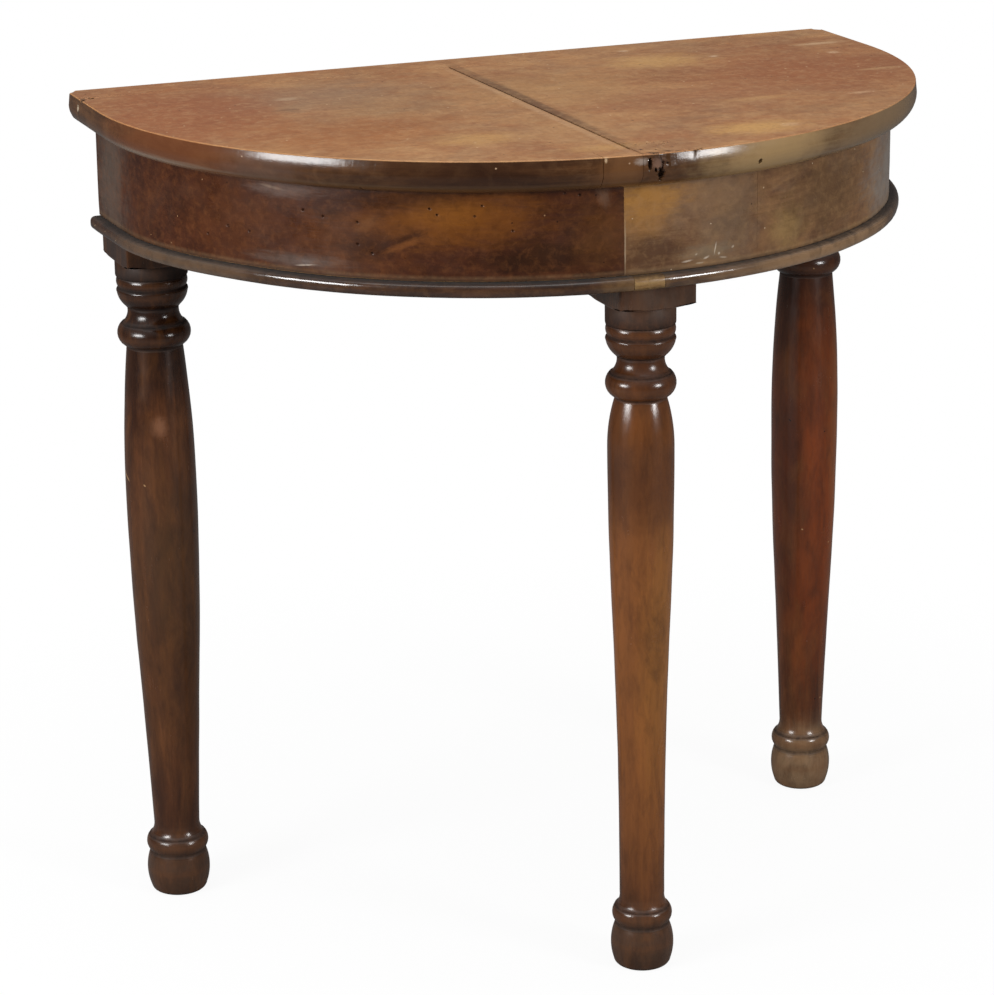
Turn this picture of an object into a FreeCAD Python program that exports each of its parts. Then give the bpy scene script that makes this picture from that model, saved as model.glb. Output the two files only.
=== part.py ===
import FreeCAD, Part
import math
import os
import Sketcher

# Demilune side table: a D-shaped top on a bowed, veneered apron with three turned legs.
# Frame: X along the back edge, +Y to the back, +Z up, origin on the floor below the middle of the table.

doc = FreeCAD.newDocument("demilune_table")
sizes = doc.addObject("Spreadsheet::Sheet", "Sizes")

# Driving dimensions in millimetres and degrees
DIMENSIONS = {
    # top
    "table_height": 780,
    "top_radius": 391,
    "side_straight": 108,
    "top_thickness": 30,
    "edge_round": 18,
    "arris_round": 2.5,
    "seam_offset": 25,
    "seam_gap": 1.2,
    "strip_width": 41,
    "tongue_length": 10,
    "tongue_height": 9,
    "tongue_stop": 40,
    "patch_width": 34,
    "patch_depth": 22,
    # apron
    "overhang": 24,
    "back_inset": 8,
    "apron_bottom": 658,
    "veneer": 2.5,
    "core_thickness": 24,
    "bead_height": 12.5,
    "bead_projection": 9,
    "quirk": 1,
    # rails and blocks
    "block_bottom": 632.5,
    "rail_thickness": 30,
    "bearer_thickness": 26,
    "bearer_height": 64,
    "tenon_thickness": 10,
    "tenon_shoulder": 9,
    "tenon_length": 18,
    "dowel_diameter": 10,
    "dowel_reach": 20,
    "dowel_low": 686,
    "dowel_high": 726,
    "block_angle": 9,
    "block_pitch": 22,
    "block_depth": 24,
    "block_height": 36,
    "screw_shank": 4.5,
    "screw_head": 9,
    "screw_grip": 14,
    # leg posts
    "post_width": 68,
    "post_depth": 84,
    "post_proud": 6,
    "front_post_width": 72,
    "front_post_depth": 78,
    "front_leg_inset": 57.5,
    "front_leg_offset": 8,
    # turned profile: heights of the foot, shared by the legs
    "heel_height": 5.5,
    "ball_top": 41,
    "foot_ring_base": 43,
    "foot_ring_top": 58,
    "ankle_height": 71,
    # turned profile: heights above the neck, shared by the legs
    "ring_top": 22,
    "cove_top": 36,
    "waist_top": 38,
    "collar_edge": 52,
    "collar_top": 56,
    "upper_ring_base": 57,
    "upper_ring_top": 67,
    # turned profile: diameters and heights of the back legs
    "back_foot": 44,
    "back_heel": 54.5,
    "back_ball_neck": 54.5,
    "back_ankle_top": 54.5,
    "back_ankle": 43.8,
    "back_swell": 59.4,
    "back_swell_height": 250,
    "back_belly": 67,
    "back_belly_height": 412,
    "back_neck": 52.5,
    "back_neck_height": 551,
    "back_ring_edge": 60,
    "back_waist": 47.8,
    "back_collar": 66,
    "back_cylinder": 67.6,
    "back_hollow": 0.3,
    # turned profile: diameters and heights of the front leg
    "front_foot": 43,
    "front_heel": 53,
    "front_ball_neck": 50,
    "front_ankle_top": 50,
    "front_ankle": 41.4,
    "front_swell": 53,
    "front_swell_height": 345,
    "front_belly": 59.8,
    "front_belly_height": 500,
    "front_neck": 46,
    "front_neck_height": 546,
    "front_ring_edge": 56,
    "front_waist": 42.4,
    "front_collar": 62,
    "front_cylinder": 63,
    "front_hollow": 1.6,
    # turned profile: how far each round swells from its chord
    "heel_rise": 1.2,
    "ball_rise": 3.2,
    "foot_ring_rise": 2.7,
    "ankle_rise": 1.3,
    "ring_rise": 6,
    "cove_rise": 1.8,
    "collar_rise": 1.6,
    "shoulder_rise": 0.9,
    "upper_ring_rise": 1.4,
    "fillet_step": 1,
    "collar_step": 1.2,
    "pommel_rise": 0.6,
    "pommel_height": 3,
}
for row, (alias, number) in enumerate(DIMENSIONS.items(), start=1):
    sizes.set(f"A{row}", alias.replace("_", " "))
    sizes.set(f"B{row}", str(number))
    sizes.setAlias(f"B{row}", alias)
doc.recompute()

# Sizes that follow from the driving dimensions
UNDERSIDE = "(Sizes.table_height - Sizes.top_thickness)"
BACK_Y = "((Sizes.top_radius + Sizes.side_straight) / 2)"
CENTRE_Y = "((Sizes.top_radius - Sizes.side_straight) / 2)"
FACE = "(Sizes.top_radius - Sizes.overhang)"
CORE_OUT = f"({FACE} - Sizes.veneer)"
CORE_IN = f"({CORE_OUT} - Sizes.core_thickness)"
APRON_HEIGHT = f"({UNDERSIDE} - Sizes.apron_bottom)"
APRON_STRAIGHT = "(Sizes.side_straight - Sizes.back_inset)"
RAIL_FRONT_Y = f"({BACK_Y} - Sizes.back_inset - Sizes.rail_thickness)"
BACK_LEG_X = f"({FACE} + Sizes.post_proud - Sizes.post_width / 2)"
BACK_LEG_Y = f"({RAIL_FRONT_Y} - Sizes.post_depth / 2)"
DOWEL_X = f"(({CORE_IN} + {BACK_LEG_X} - Sizes.post_width / 2) / 2)"
FRONT_LEG_Y = f"({CENTRE_Y} - {FACE} + Sizes.front_leg_inset)"
BLOCK_RADIUS = f"({CORE_IN} - Sizes.block_depth / 2)"

# Brick-laid apron: three courses of segments with staggered joints
COURSES = ("lower", "middle", "upper")
SEGMENT_ANGLE = 36
EVEN_SEGMENTS = 5
# Joints of the veneer and the bead, as angles from the front, towards +X
VENEER_JOINTS = (-5, 15.7)
BEAD_JOINTS = (-4, 0.3)


def value(expression):
    """The number that an expression on the sheet gives."""
    return float(sizes.evalExpression(expression))


def new_body(label, x="0", y="0", turn="0"):
    """A body whose place and turn about Z follow the sheet."""
    body = doc.addObject("PartDesign::Body", label)
    body.Label = label
    body.AllowCompound = True
    body.setExpression("Placement.Base.x", x)
    body.setExpression("Placement.Base.y", y)
    body.Placement.Rotation = FreeCAD.Rotation(FreeCAD.Vector(0, 0, 1), value(turn))
    return body


def new_sketch(body, name, plane, shift="0", lift="0"):
    """An empty sketch on one of the body's own planes, moved along the plane and off it."""
    sketch = body.newObject("Sketcher::SketchObject", f"{body.Name}_{name}")
    support = next(item for item in body.Origin.OriginFeatures if item.Role == plane)
    sketch.AttachmentSupport = (support, "")
    sketch.MapMode = "FlatFace"
    sketch.setExpression("AttachmentOffset.Base.x", shift)
    sketch.setExpression("AttachmentOffset.Base.z", lift)
    return sketch


def fix_point(sketch, geometry, position, x, y):
    """Dimension one point of a sketch from its origin."""
    for kind, expression in (("DistanceX", x), ("DistanceY", y)):
        limit = Sketcher.Constraint(kind, -1, 1, geometry, position, value(expression))
        index = sketch.addConstraint(limit)
        sketch.setExpression(f"Constraints[{index}]", expression)


def fix_radius(sketch, geometry, radius):
    index = sketch.addConstraint(Sketcher.Constraint("Radius", geometry, value(radius)))
    sketch.setExpression(f"Constraints[{index}]", radius)


def arc_between(start, end, radius):
    """A minor arc; a positive radius swells to the right of the way from start to end."""
    chord = end - start
    half = chord.Length / 2
    left = FreeCAD.Vector(-chord.y, chord.x, 0) / chord.Length
    depth = math.sqrt(max(radius * radius - half * half, 0))
    centre = (start + end) / 2 + left * math.copysign(depth, radius)
    circle = Part.Circle(centre, FreeCAD.Vector(0, 0, 1), abs(radius))
    first, last = (start, end) if radius > 0 else (end, start)
    angles = [math.atan2(point.y - centre.y, point.x - centre.x) for point in (first, last)]
    return Part.ArcOfCircle(circle, angles[0], angles[1])


def rise(start, end, height):
    """The radius of an arc from its two ends and its height over the chord."""
    square = f"((({end[0]}) - ({start[0]})) ^ 2 + (({end[1]}) - ({start[1]})) ^ 2)"
    return f"({square} / 8 / ({height}) + ({height}) / 2)"


def draw(sketch, corners, arcs=None):
    """Close an outline through corners given as expressions; arcs maps a side's number to its radius."""
    arcs = arcs or {}
    points = [FreeCAD.Vector(value(x), value(y), 0) for x, y in corners]
    ends = []
    for side, start in enumerate(points):
        end = points[(side + 1) % len(points)]
        if side in arcs:
            radius = value(arcs[side])
            geometry = sketch.addGeometry(arc_between(start, end, radius))
            ends.append((geometry, 1, 2) if radius > 0 else (geometry, 2, 1))
            fix_radius(sketch, geometry, arcs[side] if radius > 0 else f"-({arcs[side]})")
        else:
            geometry = sketch.addGeometry(Part.LineSegment(start, end))
            ends.append((geometry, 1, 2))
    for side, (geometry, first, last) in enumerate(ends):
        following, entry, _ = ends[(side + 1) % len(ends)]
        sketch.addConstraint(Sketcher.Constraint("Coincident", geometry, last, following, entry))
        fix_point(sketch, geometry, first, *corners[side])


def draw_circles(sketch, centres, diameter):
    radius = f"({diameter} / 2)"
    for x, y in centres:
        centre = FreeCAD.Vector(value(x), value(y), 0)
        geometry = sketch.addGeometry(Part.Circle(centre, FreeCAD.Vector(0, 0, 1), value(radius)))
        fix_radius(sketch, geometry, radius)
        fix_point(sketch, geometry, 3, x, y)


def rectangle(left, right, low, high):
    return [(left, low), (right, low), (right, high), (left, high)]


def extrude(body, sketch, length, kind="Pad", reverse=False):
    """A Pad or Pocket of a sketch, which has to change the body's volume."""
    before = body.Shape.Volume if body.Tip else 0
    feature = body.newObject(f"PartDesign::{kind}", f"{sketch.Name}_{kind.lower()}")
    feature.Profile = sketch
    feature.setExpression("Length", length)
    feature.Reversed = reverse
    doc.recompute()
    if abs(body.Shape.Volume - before) < 1:
        raise RuntimeError(f"{feature.Name} changes nothing")
    return feature


def revolve(body, sketch, angle="360", kind="Revolution", reverse=False):
    """A Revolution or Groove of a sketch about its own upright axis."""
    feature = body.newObject(f"PartDesign::{kind}", f"{sketch.Name}_{kind.lower()}")
    feature.Profile = sketch
    feature.ReferenceAxis = (sketch, ["V_Axis"])
    feature.setExpression("Angle", angle)
    feature.Reversed = reverse
    doc.recompute()
    return feature


# Top: two boards with a front repair piece, and a strip along the back

STRIP_Y = "(Sizes.side_straight - Sizes.strip_width)"
SEAM_LEFT = "(-Sizes.seam_offset - Sizes.seam_gap / 2)"
SEAM_RIGHT = "(-Sizes.seam_offset + Sizes.seam_gap / 2)"
PATCH_LEFT = f"({SEAM_LEFT} - Sizes.patch_width)"
TONGUE_BASE = f"({UNDERSIDE} + Sizes.top_thickness / 2 - Sizes.tongue_height / 2)"
TONGUE_TIP = f"({STRIP_Y} + Sizes.tongue_length)"
TONGUE_END = "(Sizes.top_radius - Sizes.tongue_stop)"


def rim_y(x):
    """Where the rim's front curve is at a given X, from the curve's centre."""
    return f"(-sqrt(Sizes.top_radius ^ 2 - {x} ^ 2))"


PATCH_INNER = f"({rim_y(PATCH_LEFT)} + Sizes.patch_depth)"


def rim_edges(shape, height):
    """Names of the edges that run along the rim of the top at one height."""
    radius = value("Sizes.top_radius")
    names = []
    for number, edge in enumerate(shape.Edges, start=1):
        middle = edge.valueAt((edge.FirstParameter + edge.LastParameter) / 2)
        reach = abs(middle.x) if middle.y > 0 else math.hypot(middle.x, middle.y)
        level = all(abs(vertex.Z - height) < 0.01 for vertex in edge.Vertexes)
        if level and abs(reach - radius) < 0.01:
            names.append(f"Edge{number}")
    return names


def round_rim(body, feature):
    """The rim is rounded under, with a slightly eased upper arris."""
    for height, radius in ((UNDERSIDE, "Sizes.edge_round"), ("Sizes.table_height", "Sizes.arris_round")):
        fillet = body.newObject("PartDesign::Fillet", f"{body.Name}_{radius[6:]}")
        fillet.Base = (feature, rim_edges(feature.Shape, value(height)))
        fillet.setExpression("Radius", radius)
        doc.recompute()
        feature = fillet


def top_piece(label, corners, arcs=None):
    body = new_body(label, y=CENTRE_Y)
    outline = new_sketch(body, "outline", "XY_Plane", lift=UNDERSIDE)
    draw(outline, corners, arcs)
    round_rim(body, extrude(body, outline, "Sizes.top_thickness"))
    return body


def screw_places(side):
    """Centres of the screws on one side of the table, from the curve's centre."""
    angles = [f"({side} * {step} * Sizes.block_pitch)" for step in (1, 2, 3)]
    return [(f"{BLOCK_RADIUS} * sin({angle})", f"-{BLOCK_RADIUS} * cos({angle})") for angle in angles]


def tongue_and_pilots(body, left, right, side):
    tongue = new_sketch(body, "tongue", "XY_Plane", lift=TONGUE_BASE)
    draw(tongue, rectangle(left, right, f"{STRIP_Y} - Sizes.tongue_length", TONGUE_TIP))
    extrude(body, tongue, "Sizes.tongue_height")
    pilots = new_sketch(body, "pilots", "XY_Plane", lift=UNDERSIDE)
    draw_circles(pilots, screw_places(side), "Sizes.screw_shank")
    extrude(body, pilots, "Sizes.screw_grip", "Pocket", reverse=True)


left_board = top_piece(
    "top_left_board",
    [(SEAM_LEFT, STRIP_Y), ("-Sizes.top_radius", STRIP_Y), ("-Sizes.top_radius", "0"),
     (PATCH_LEFT, rim_y(PATCH_LEFT)), (PATCH_LEFT, PATCH_INNER), (SEAM_LEFT, PATCH_INNER)],
    {2: "Sizes.top_radius"})
tongue_and_pilots(left_board, f"-{TONGUE_END}", f"{SEAM_LEFT} - Sizes.tongue_stop", -1)

right_board = top_piece(
    "top_right_board",
    [(SEAM_RIGHT, STRIP_Y), (SEAM_RIGHT, rim_y(SEAM_RIGHT)), ("Sizes.top_radius", "0"),
     ("Sizes.top_radius", STRIP_Y)],
    {1: "Sizes.top_radius"})
tongue_and_pilots(right_board, f"{SEAM_RIGHT} + Sizes.tongue_stop", TONGUE_END, 1)

top_piece(
    "top_edge_patch",
    [(PATCH_LEFT, rim_y(PATCH_LEFT)), (SEAM_LEFT, rim_y(SEAM_LEFT)), (SEAM_LEFT, PATCH_INNER),
     (PATCH_LEFT, PATCH_INNER)],
    {0: "Sizes.top_radius"})

back_strip = top_piece(
    "top_back_strip",
    rectangle("-Sizes.top_radius", "Sizes.top_radius", STRIP_Y, "Sizes.side_straight"))
for name, left, right in (
        ("left_groove", f"-{TONGUE_END}", f"{SEAM_LEFT} - Sizes.tongue_stop"),
        ("right_groove", f"{SEAM_RIGHT} + Sizes.tongue_stop", TONGUE_END)):
    groove = new_sketch(back_strip, name, "XY_Plane", lift=TONGUE_BASE)
    draw(groove, rectangle(left, right, f"{STRIP_Y} - Sizes.tongue_length", TONGUE_TIP))
    extrude(back_strip, groove, "Sizes.tongue_height", "Pocket", reverse=True)


# Apron: strips bent round the table, each a profile turned about the curve's centre


def bent_strip(label, profile, start, end, arcs=None, straight=None):
    """A profile (radius, height) swept from one angle to another, and on along a straight side."""
    mirrored = straight == "right"
    body = new_body(label, y=CENTRE_Y, turn="0" if mirrored else f"({start} - 90)")
    sketch = new_sketch(body, "profile", "XZ_Plane")
    draw(sketch, profile, arcs)
    if end != start:
        revolve(body, sketch, f"{end} - ({start})", reverse=mirrored)
    if straight:
        extrude(body, sketch, APRON_STRAIGHT, reverse=mirrored)
    return body


def course_angles(course):
    """Joint angles of one course; the middle course's joints lie halfway between the others'."""
    reach = EVEN_SEGMENTS * SEGMENT_ANGLE / 2
    if course != "middle":
        return [step * SEGMENT_ANGLE - reach for step in range(EVEN_SEGMENTS + 1)]
    return [step * SEGMENT_ANGLE - reach + SEGMENT_ANGLE / 2 for step in range(EVEN_SEGMENTS)]


for level, course in enumerate(COURSES):
    low = f"(Sizes.apron_bottom + {level} * {APRON_HEIGHT} / {len(COURSES)})"
    high = f"({low} + {APRON_HEIGHT} / {len(COURSES)})"
    section = rectangle(CORE_IN, CORE_OUT, low, high)
    joints = course_angles(course)
    bent_strip(f"core_{course}_left_end", section, -90, joints[0], straight="left")
    for number, (start, end) in enumerate(zip(joints, joints[1:]), start=1):
        bent_strip(f"core_{course}_{number}", section, start, end)
    bent_strip(f"core_{course}_right_end", section, joints[-1], 90, straight="right")

veneer_section = rectangle(
    CORE_OUT, FACE, "Sizes.apron_bottom + Sizes.bead_height + Sizes.quirk", UNDERSIDE)
bent_strip("veneer_left", veneer_section, -90, VENEER_JOINTS[0], straight="left")
bent_strip("veneer_front", veneer_section, *VENEER_JOINTS)
bent_strip("veneer_right", veneer_section, VENEER_JOINTS[1], 90, straight="right")

BEAD_ROUND = "(Sizes.bead_height / 2)"
BEAD_NOSE = f"({FACE} + Sizes.bead_projection)"
BEAD_FLAT = f"({BEAD_NOSE} - {BEAD_ROUND})"
BEAD_MIDDLE = f"(Sizes.apron_bottom + {BEAD_ROUND})"
BEAD_TOP = "(Sizes.apron_bottom + Sizes.bead_height)"
bead_section = [(CORE_OUT, "Sizes.apron_bottom"), (BEAD_FLAT, "Sizes.apron_bottom"), (BEAD_NOSE, BEAD_MIDDLE),
                (BEAD_FLAT, BEAD_TOP), (CORE_OUT, BEAD_TOP)]
bead_arcs = {1: BEAD_ROUND, 2: BEAD_ROUND}
bent_strip("bead_left", bead_section, -90, BEAD_JOINTS[0], bead_arcs, straight="left")
bent_strip("bead_patch", bead_section, *BEAD_JOINTS, bead_arcs)
bent_strip("bead_right", bead_section, BEAD_JOINTS[1], 90, bead_arcs, straight="right")


# Back rail between the ends of the apron, and the bearer to the front leg

TENON_LOW = f"({UNDERSIDE} - Sizes.bearer_height + Sizes.tenon_shoulder)"
TENON_HIGH = f"({UNDERSIDE} - Sizes.tenon_shoulder)"
BEARER_BACK = RAIL_FRONT_Y
BEARER_FRONT = f"({FRONT_LEG_Y} + Sizes.front_post_depth / 2)"
tenon_opening = rectangle("Sizes.front_leg_offset - Sizes.tenon_thickness / 2",
                          "Sizes.front_leg_offset + Sizes.tenon_thickness / 2", TENON_LOW, TENON_HIGH)
dowel_places = [(f"{side} * {DOWEL_X}", height)
                for side in (-1, 1) for height in ("Sizes.dowel_low", "Sizes.dowel_high")]

rail = new_body("back_rail", y=RAIL_FRONT_Y)
rail_outline = new_sketch(rail, "outline", "XZ_Plane", lift="-Sizes.rail_thickness")
draw(rail_outline, rectangle(f"-{CORE_IN}", CORE_IN, "Sizes.apron_bottom", UNDERSIDE))
extrude(rail, rail_outline, "Sizes.rail_thickness")
rail_mortise = new_sketch(rail, "mortise", "XZ_Plane")
draw(rail_mortise, tenon_opening)
extrude(rail, rail_mortise, "Sizes.tenon_length", "Pocket")
rail_sockets = new_sketch(rail, "sockets", "XZ_Plane")
draw_circles(rail_sockets, dowel_places, "Sizes.dowel_diameter")
extrude(rail, rail_sockets, "Sizes.dowel_reach", "Pocket")

dowels = new_body("rail_dowels", y=RAIL_FRONT_Y)
dowel_ends = new_sketch(dowels, "ends", "XZ_Plane", lift="-Sizes.dowel_reach")
draw_circles(dowel_ends, dowel_places, "Sizes.dowel_diameter")
extrude(dowels, dowel_ends, "2 * Sizes.dowel_reach")

bearer = new_body("centre_bearer", x="Sizes.front_leg_offset")
bearer_side = new_sketch(bearer, "side", "YZ_Plane", lift="-Sizes.bearer_thickness / 2")
draw(bearer_side, rectangle(BEARER_FRONT, BEARER_BACK, f"{UNDERSIDE} - Sizes.bearer_height", UNDERSIDE))
extrude(bearer, bearer_side, "Sizes.bearer_thickness")
tenons = new_sketch(bearer, "tenons", "YZ_Plane", lift="-Sizes.tenon_thickness / 2")
draw(tenons, rectangle(f"{BEARER_FRONT} - Sizes.tenon_length", f"{BEARER_BACK} + Sizes.tenon_length",
                       TENON_LOW, TENON_HIGH))
extrude(bearer, tenons, "Sizes.tenon_thickness")


# Glue blocks under the top, with a screw up through each into the boards

BLOCK_FOOT = f"({UNDERSIDE} - Sizes.block_height)"
HEAD_DEPTH = "((Sizes.screw_head - Sizes.screw_shank) / 2)"

for side, word in ((-1, "left"), (1, "right")):
    for number in (1, 2, 3):
        middle = side * number * value("Sizes.block_pitch")
        block = bent_strip(
            f"glue_block_{word}_{number}",
            rectangle(f"{CORE_IN} - Sizes.block_depth", CORE_IN, BLOCK_FOOT, UNDERSIDE),
            middle - value("Sizes.block_angle") / 2, middle + value("Sizes.block_angle") / 2)
        bore_centre = [(f"{BLOCK_RADIUS} * cos(Sizes.block_angle / 2)",
                        f"{BLOCK_RADIUS} * sin(Sizes.block_angle / 2)")]
        bore = new_sketch(block, "bore", "XY_Plane", lift=BLOCK_FOOT)
        draw_circles(bore, bore_centre, "Sizes.screw_shank")
        extrude(block, bore, "Sizes.block_height", "Pocket", reverse=True)

    first = side * value("Sizes.block_pitch")
    last = 3 * first
    screws = new_body(f"{word}_screws", y=CENTRE_Y, turn=f"{min(first, last)} - 90")
    half_screw = new_sketch(screws, "half", "XZ_Plane", shift=BLOCK_RADIUS)
    draw(half_screw, [
        ("0", f"{BLOCK_FOOT} - {HEAD_DEPTH}"), ("Sizes.screw_head / 2", f"{BLOCK_FOOT} - {HEAD_DEPTH}"),
        ("Sizes.screw_head / 2", BLOCK_FOOT), ("Sizes.screw_shank / 2", BLOCK_FOOT),
        ("Sizes.screw_shank / 2", f"{UNDERSIDE} + Sizes.screw_grip"),
        ("0", f"{UNDERSIDE} + Sizes.screw_grip")])
    screw = revolve(screws, half_screw)
    pattern = screws.newObject("PartDesign::PolarPattern", f"{word}_screw_pattern")
    pattern.Originals = [screw]
    pattern.Axis = (next(item for item in screws.Origin.OriginFeatures if item.Role == "Z_Axis"), [""])
    pattern.setExpression("Angle", "2 * Sizes.block_pitch")
    pattern.Occurrences = 3
    screws.Tip = pattern
    doc.recompute()


# Legs: a square post, notched for the apron, over a turned shaft


def leg_profile(kind):
    """Half outline of the turned leg, from the floor to inside the post, and its arcs."""
    def radius(name):
        return f"(Sizes.{kind}_{name} / 2)"

    def own(name):
        return f"Sizes.{kind}_{name}"

    foot = (radius("foot"), "0")
    heel = (radius("heel"), "Sizes.heel_height")
    ball_top = (radius("ball_neck"), "Sizes.ball_top")
    ring_base = (radius("ball_neck"), "Sizes.foot_ring_base")
    ring_top = (radius("ankle_top"), "Sizes.foot_ring_top")
    ankle_foot = (f"({radius('ankle_top')} - Sizes.fillet_step)", "Sizes.foot_ring_top")
    ankle = (radius("ankle"), "Sizes.ankle_height")
    swell = (radius("swell"), own("swell_height"))
    belly = (radius("belly"), own("belly_height"))
    neck = (radius("neck"), own("neck_height"))

    def above_neck(reach, name):
        return reach, f"({own('neck_height')} + Sizes.{name})"

    ring_edge = above_neck(radius("ring_edge"), "ring_top")
    cove_foot = above_neck(f"({radius('ring_edge')} - Sizes.fillet_step)", "ring_top")
    waist_foot = above_neck(radius("waist"), "cove_top")
    waist_head = above_neck(radius("waist"), "waist_top")
    collar_foot = above_neck(f"({radius('waist')} + Sizes.fillet_step)", "waist_top")
    collar_edge = above_neck(radius("collar"), "collar_edge")
    groove = f"({radius('collar')} - Sizes.collar_step)"
    collar_top = above_neck(groove, "collar_top")
    upper_ring_foot = above_neck(groove, "upper_ring_base")
    upper_ring_head = above_neck(groove, "upper_ring_top")
    cylinder = above_neck(radius("cylinder"), "upper_ring_top")
    seat = f"(Sizes.block_bottom + {radius('cylinder')} / 4)"
    corners = [("0", "0"), foot, heel, ball_top, ring_base, ring_top, ankle_foot, ankle, swell, belly, neck,
               ring_edge, cove_foot, waist_foot, waist_head, collar_foot, collar_edge, collar_top,
               upper_ring_foot, upper_ring_head, cylinder, (radius("cylinder"), seat), ("0", seat)]
    rises = {
        1: "Sizes.heel_rise",
        2: "Sizes.ball_rise",
        4: "Sizes.foot_ring_rise",
        6: "-Sizes.ankle_rise",
        7: f"-{own('hollow')}",
        8: f"({belly[0]} - {swell[0]}) / 4",
        9: f"({belly[0]} - {neck[0]}) / 4",
        10: "Sizes.ring_rise",
        12: "-Sizes.cove_rise",
        15: "Sizes.collar_rise",
        16: "Sizes.shoulder_rise",
        18: "Sizes.upper_ring_rise",
    }
    arcs = {side: rise(corners[side], corners[side + 1], height) for side, height in rises.items()}
    return corners, arcs


def leg(label, kind, x, y, half_width, half_depth):
    """A post and its turning, with the post's lower corners rounded off by the lathe."""
    body = new_body(label, x=x, y=y)
    half_outline = new_sketch(body, "turning", "XZ_Plane")
    draw(half_outline, *leg_profile(kind))
    revolve(body, half_outline)
    post = new_sketch(body, "post", "XY_Plane", lift="Sizes.block_bottom")
    draw(post, rectangle(f"-({half_width})", half_width, f"-({half_depth})", half_depth))
    extrude(body, post, f"{UNDERSIDE} - Sizes.block_bottom")
    corner_reach = f"(sqrt(({half_width}) ^ 2 + ({half_depth}) ^ 2) + 1)"
    low = (f"({half_depth}) + 1", "Sizes.block_bottom")
    high = (corner_reach, "Sizes.block_bottom + Sizes.pommel_height")
    pommel = new_sketch(body, "pommel", "XZ_Plane")
    draw(pommel, [low, (corner_reach, "Sizes.block_bottom"), high],
         {2: rise(high, low, "-Sizes.pommel_rise")})
    revolve(body, pommel, kind="Groove")
    return body


def notch(body, corners, arcs=None):
    """Cut the post away above the block, where the apron passes."""
    outline = new_sketch(body, "notch", "XY_Plane", lift="Sizes.apron_bottom")
    draw(outline, corners, arcs)
    extrude(body, outline, APRON_HEIGHT, "Pocket", reverse=True)


HALF_WIDTH = "(Sizes.post_width / 2)"
HALF_DEPTH = "(Sizes.post_depth / 2)"
CURVE_START = f"({CENTRE_Y} - {BACK_LEG_Y})"
NOTCH_FRONT = f"(-{HALF_DEPTH} - 1)"
NOTCH_BACK = f"({HALF_DEPTH} + 1)"
NOTCH_OUTER = f"({HALF_WIDTH} + 1)"
NOTCH_INNER = f"({CORE_IN} - {BACK_LEG_X})"
CURVE_END = f"(sqrt({CORE_IN} ^ 2 - ({CURVE_START} - {NOTCH_FRONT}) ^ 2) - {BACK_LEG_X})"
back_notch = [(CURVE_END, NOTCH_FRONT), (NOTCH_OUTER, NOTCH_FRONT), (NOTCH_OUTER, NOTCH_BACK),
              (NOTCH_INNER, NOTCH_BACK), (NOTCH_INNER, CURVE_START)]

for side, word in ((-1, "left"), (1, "right")):
    back_leg = leg(f"{word}_leg", "back", f"{side} * {BACK_LEG_X}", BACK_LEG_Y, HALF_WIDTH, HALF_DEPTH)
    notch(back_leg, [(f"{side} * {x}", y) for x, y in back_notch], {4: f"{-side} * {CORE_IN}"})
    sockets = new_sketch(back_leg, "sockets", "XZ_Plane", lift=f"-{HALF_DEPTH}")
    socket_x = f"{side} * ({DOWEL_X} - {BACK_LEG_X})"
    socket_places = [(socket_x, "Sizes.dowel_low"), (socket_x, "Sizes.dowel_high")]
    draw_circles(sockets, socket_places, "Sizes.dowel_diameter")
    extrude(back_leg, sockets, "Sizes.dowel_reach", "Pocket", reverse=True)

FRONT_HALF_WIDTH = "(Sizes.front_post_width / 2)"
FRONT_HALF_DEPTH = "(Sizes.front_post_depth / 2)"
front_leg = leg("front_leg", "front", "Sizes.front_leg_offset", FRONT_LEG_Y,
                FRONT_HALF_WIDTH, FRONT_HALF_DEPTH)
curve_ends = []
for edge in (f"{FRONT_HALF_WIDTH} + 1", f"-{FRONT_HALF_WIDTH} - 1"):
    from_middle = f"({edge} + Sizes.front_leg_offset)"
    curve_ends.append((edge, f"{CENTRE_Y} - {FRONT_LEG_Y} - sqrt({CORE_IN} ^ 2 - {from_middle} ^ 2)"))
notch(front_leg, [(f"-{FRONT_HALF_WIDTH} - 1", f"-{FRONT_HALF_DEPTH} - 1"),
                  (f"{FRONT_HALF_WIDTH} + 1", f"-{FRONT_HALF_DEPTH} - 1"), *curve_ends], {2: f"-{CORE_IN}"})
leg_mortise = new_sketch(front_leg, "mortise", "XZ_Plane", lift=f"-{FRONT_HALF_DEPTH}")
draw(leg_mortise, rectangle("-Sizes.tenon_thickness / 2", "Sizes.tenon_thickness / 2", TENON_LOW, TENON_HIGH))
extrude(front_leg, leg_mortise, "Sizes.tenon_length", "Pocket", reverse=True)


# Every object has to be sound before a file is written

doc.recompute()
for item in doc.Objects:
    if any(state in ("Invalid", "Error") for state in item.State):
        raise RuntimeError(f"{item.Label} failed: {item.State}")
bodies = [item for item in doc.Objects if item.TypeId == "PartDesign::Body"]
for body in bodies:
    if body.Shape.isNull() or not body.Shape.isValid():
        raise RuntimeError(f"{body.Label} has no valid shape")

os.makedirs("parts", exist_ok=True)
for body in bodies:
    body.Shape.exportStep(f"parts/{body.Label}.step")
    print(f"{body.Label}: {len(body.Shape.Solids)} solid, {body.Shape.Volume / 1000:.1f} cm3")
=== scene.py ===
# %% [markdown]
# # A demilune side table in old polished walnut
# The CAD model gives every piece of the table its place: a D-shaped top in boards, a bowed apron with a
# bead under it, and three turned legs. This lesson replaces the pieces that show by worn, rounded ones,
# and leaves the hidden carpentry as it is. First comes the frame.

# %% Load the imported model
import math
import random
import bmesh
import bpy
from mathutils import Matrix, Vector, noise


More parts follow.
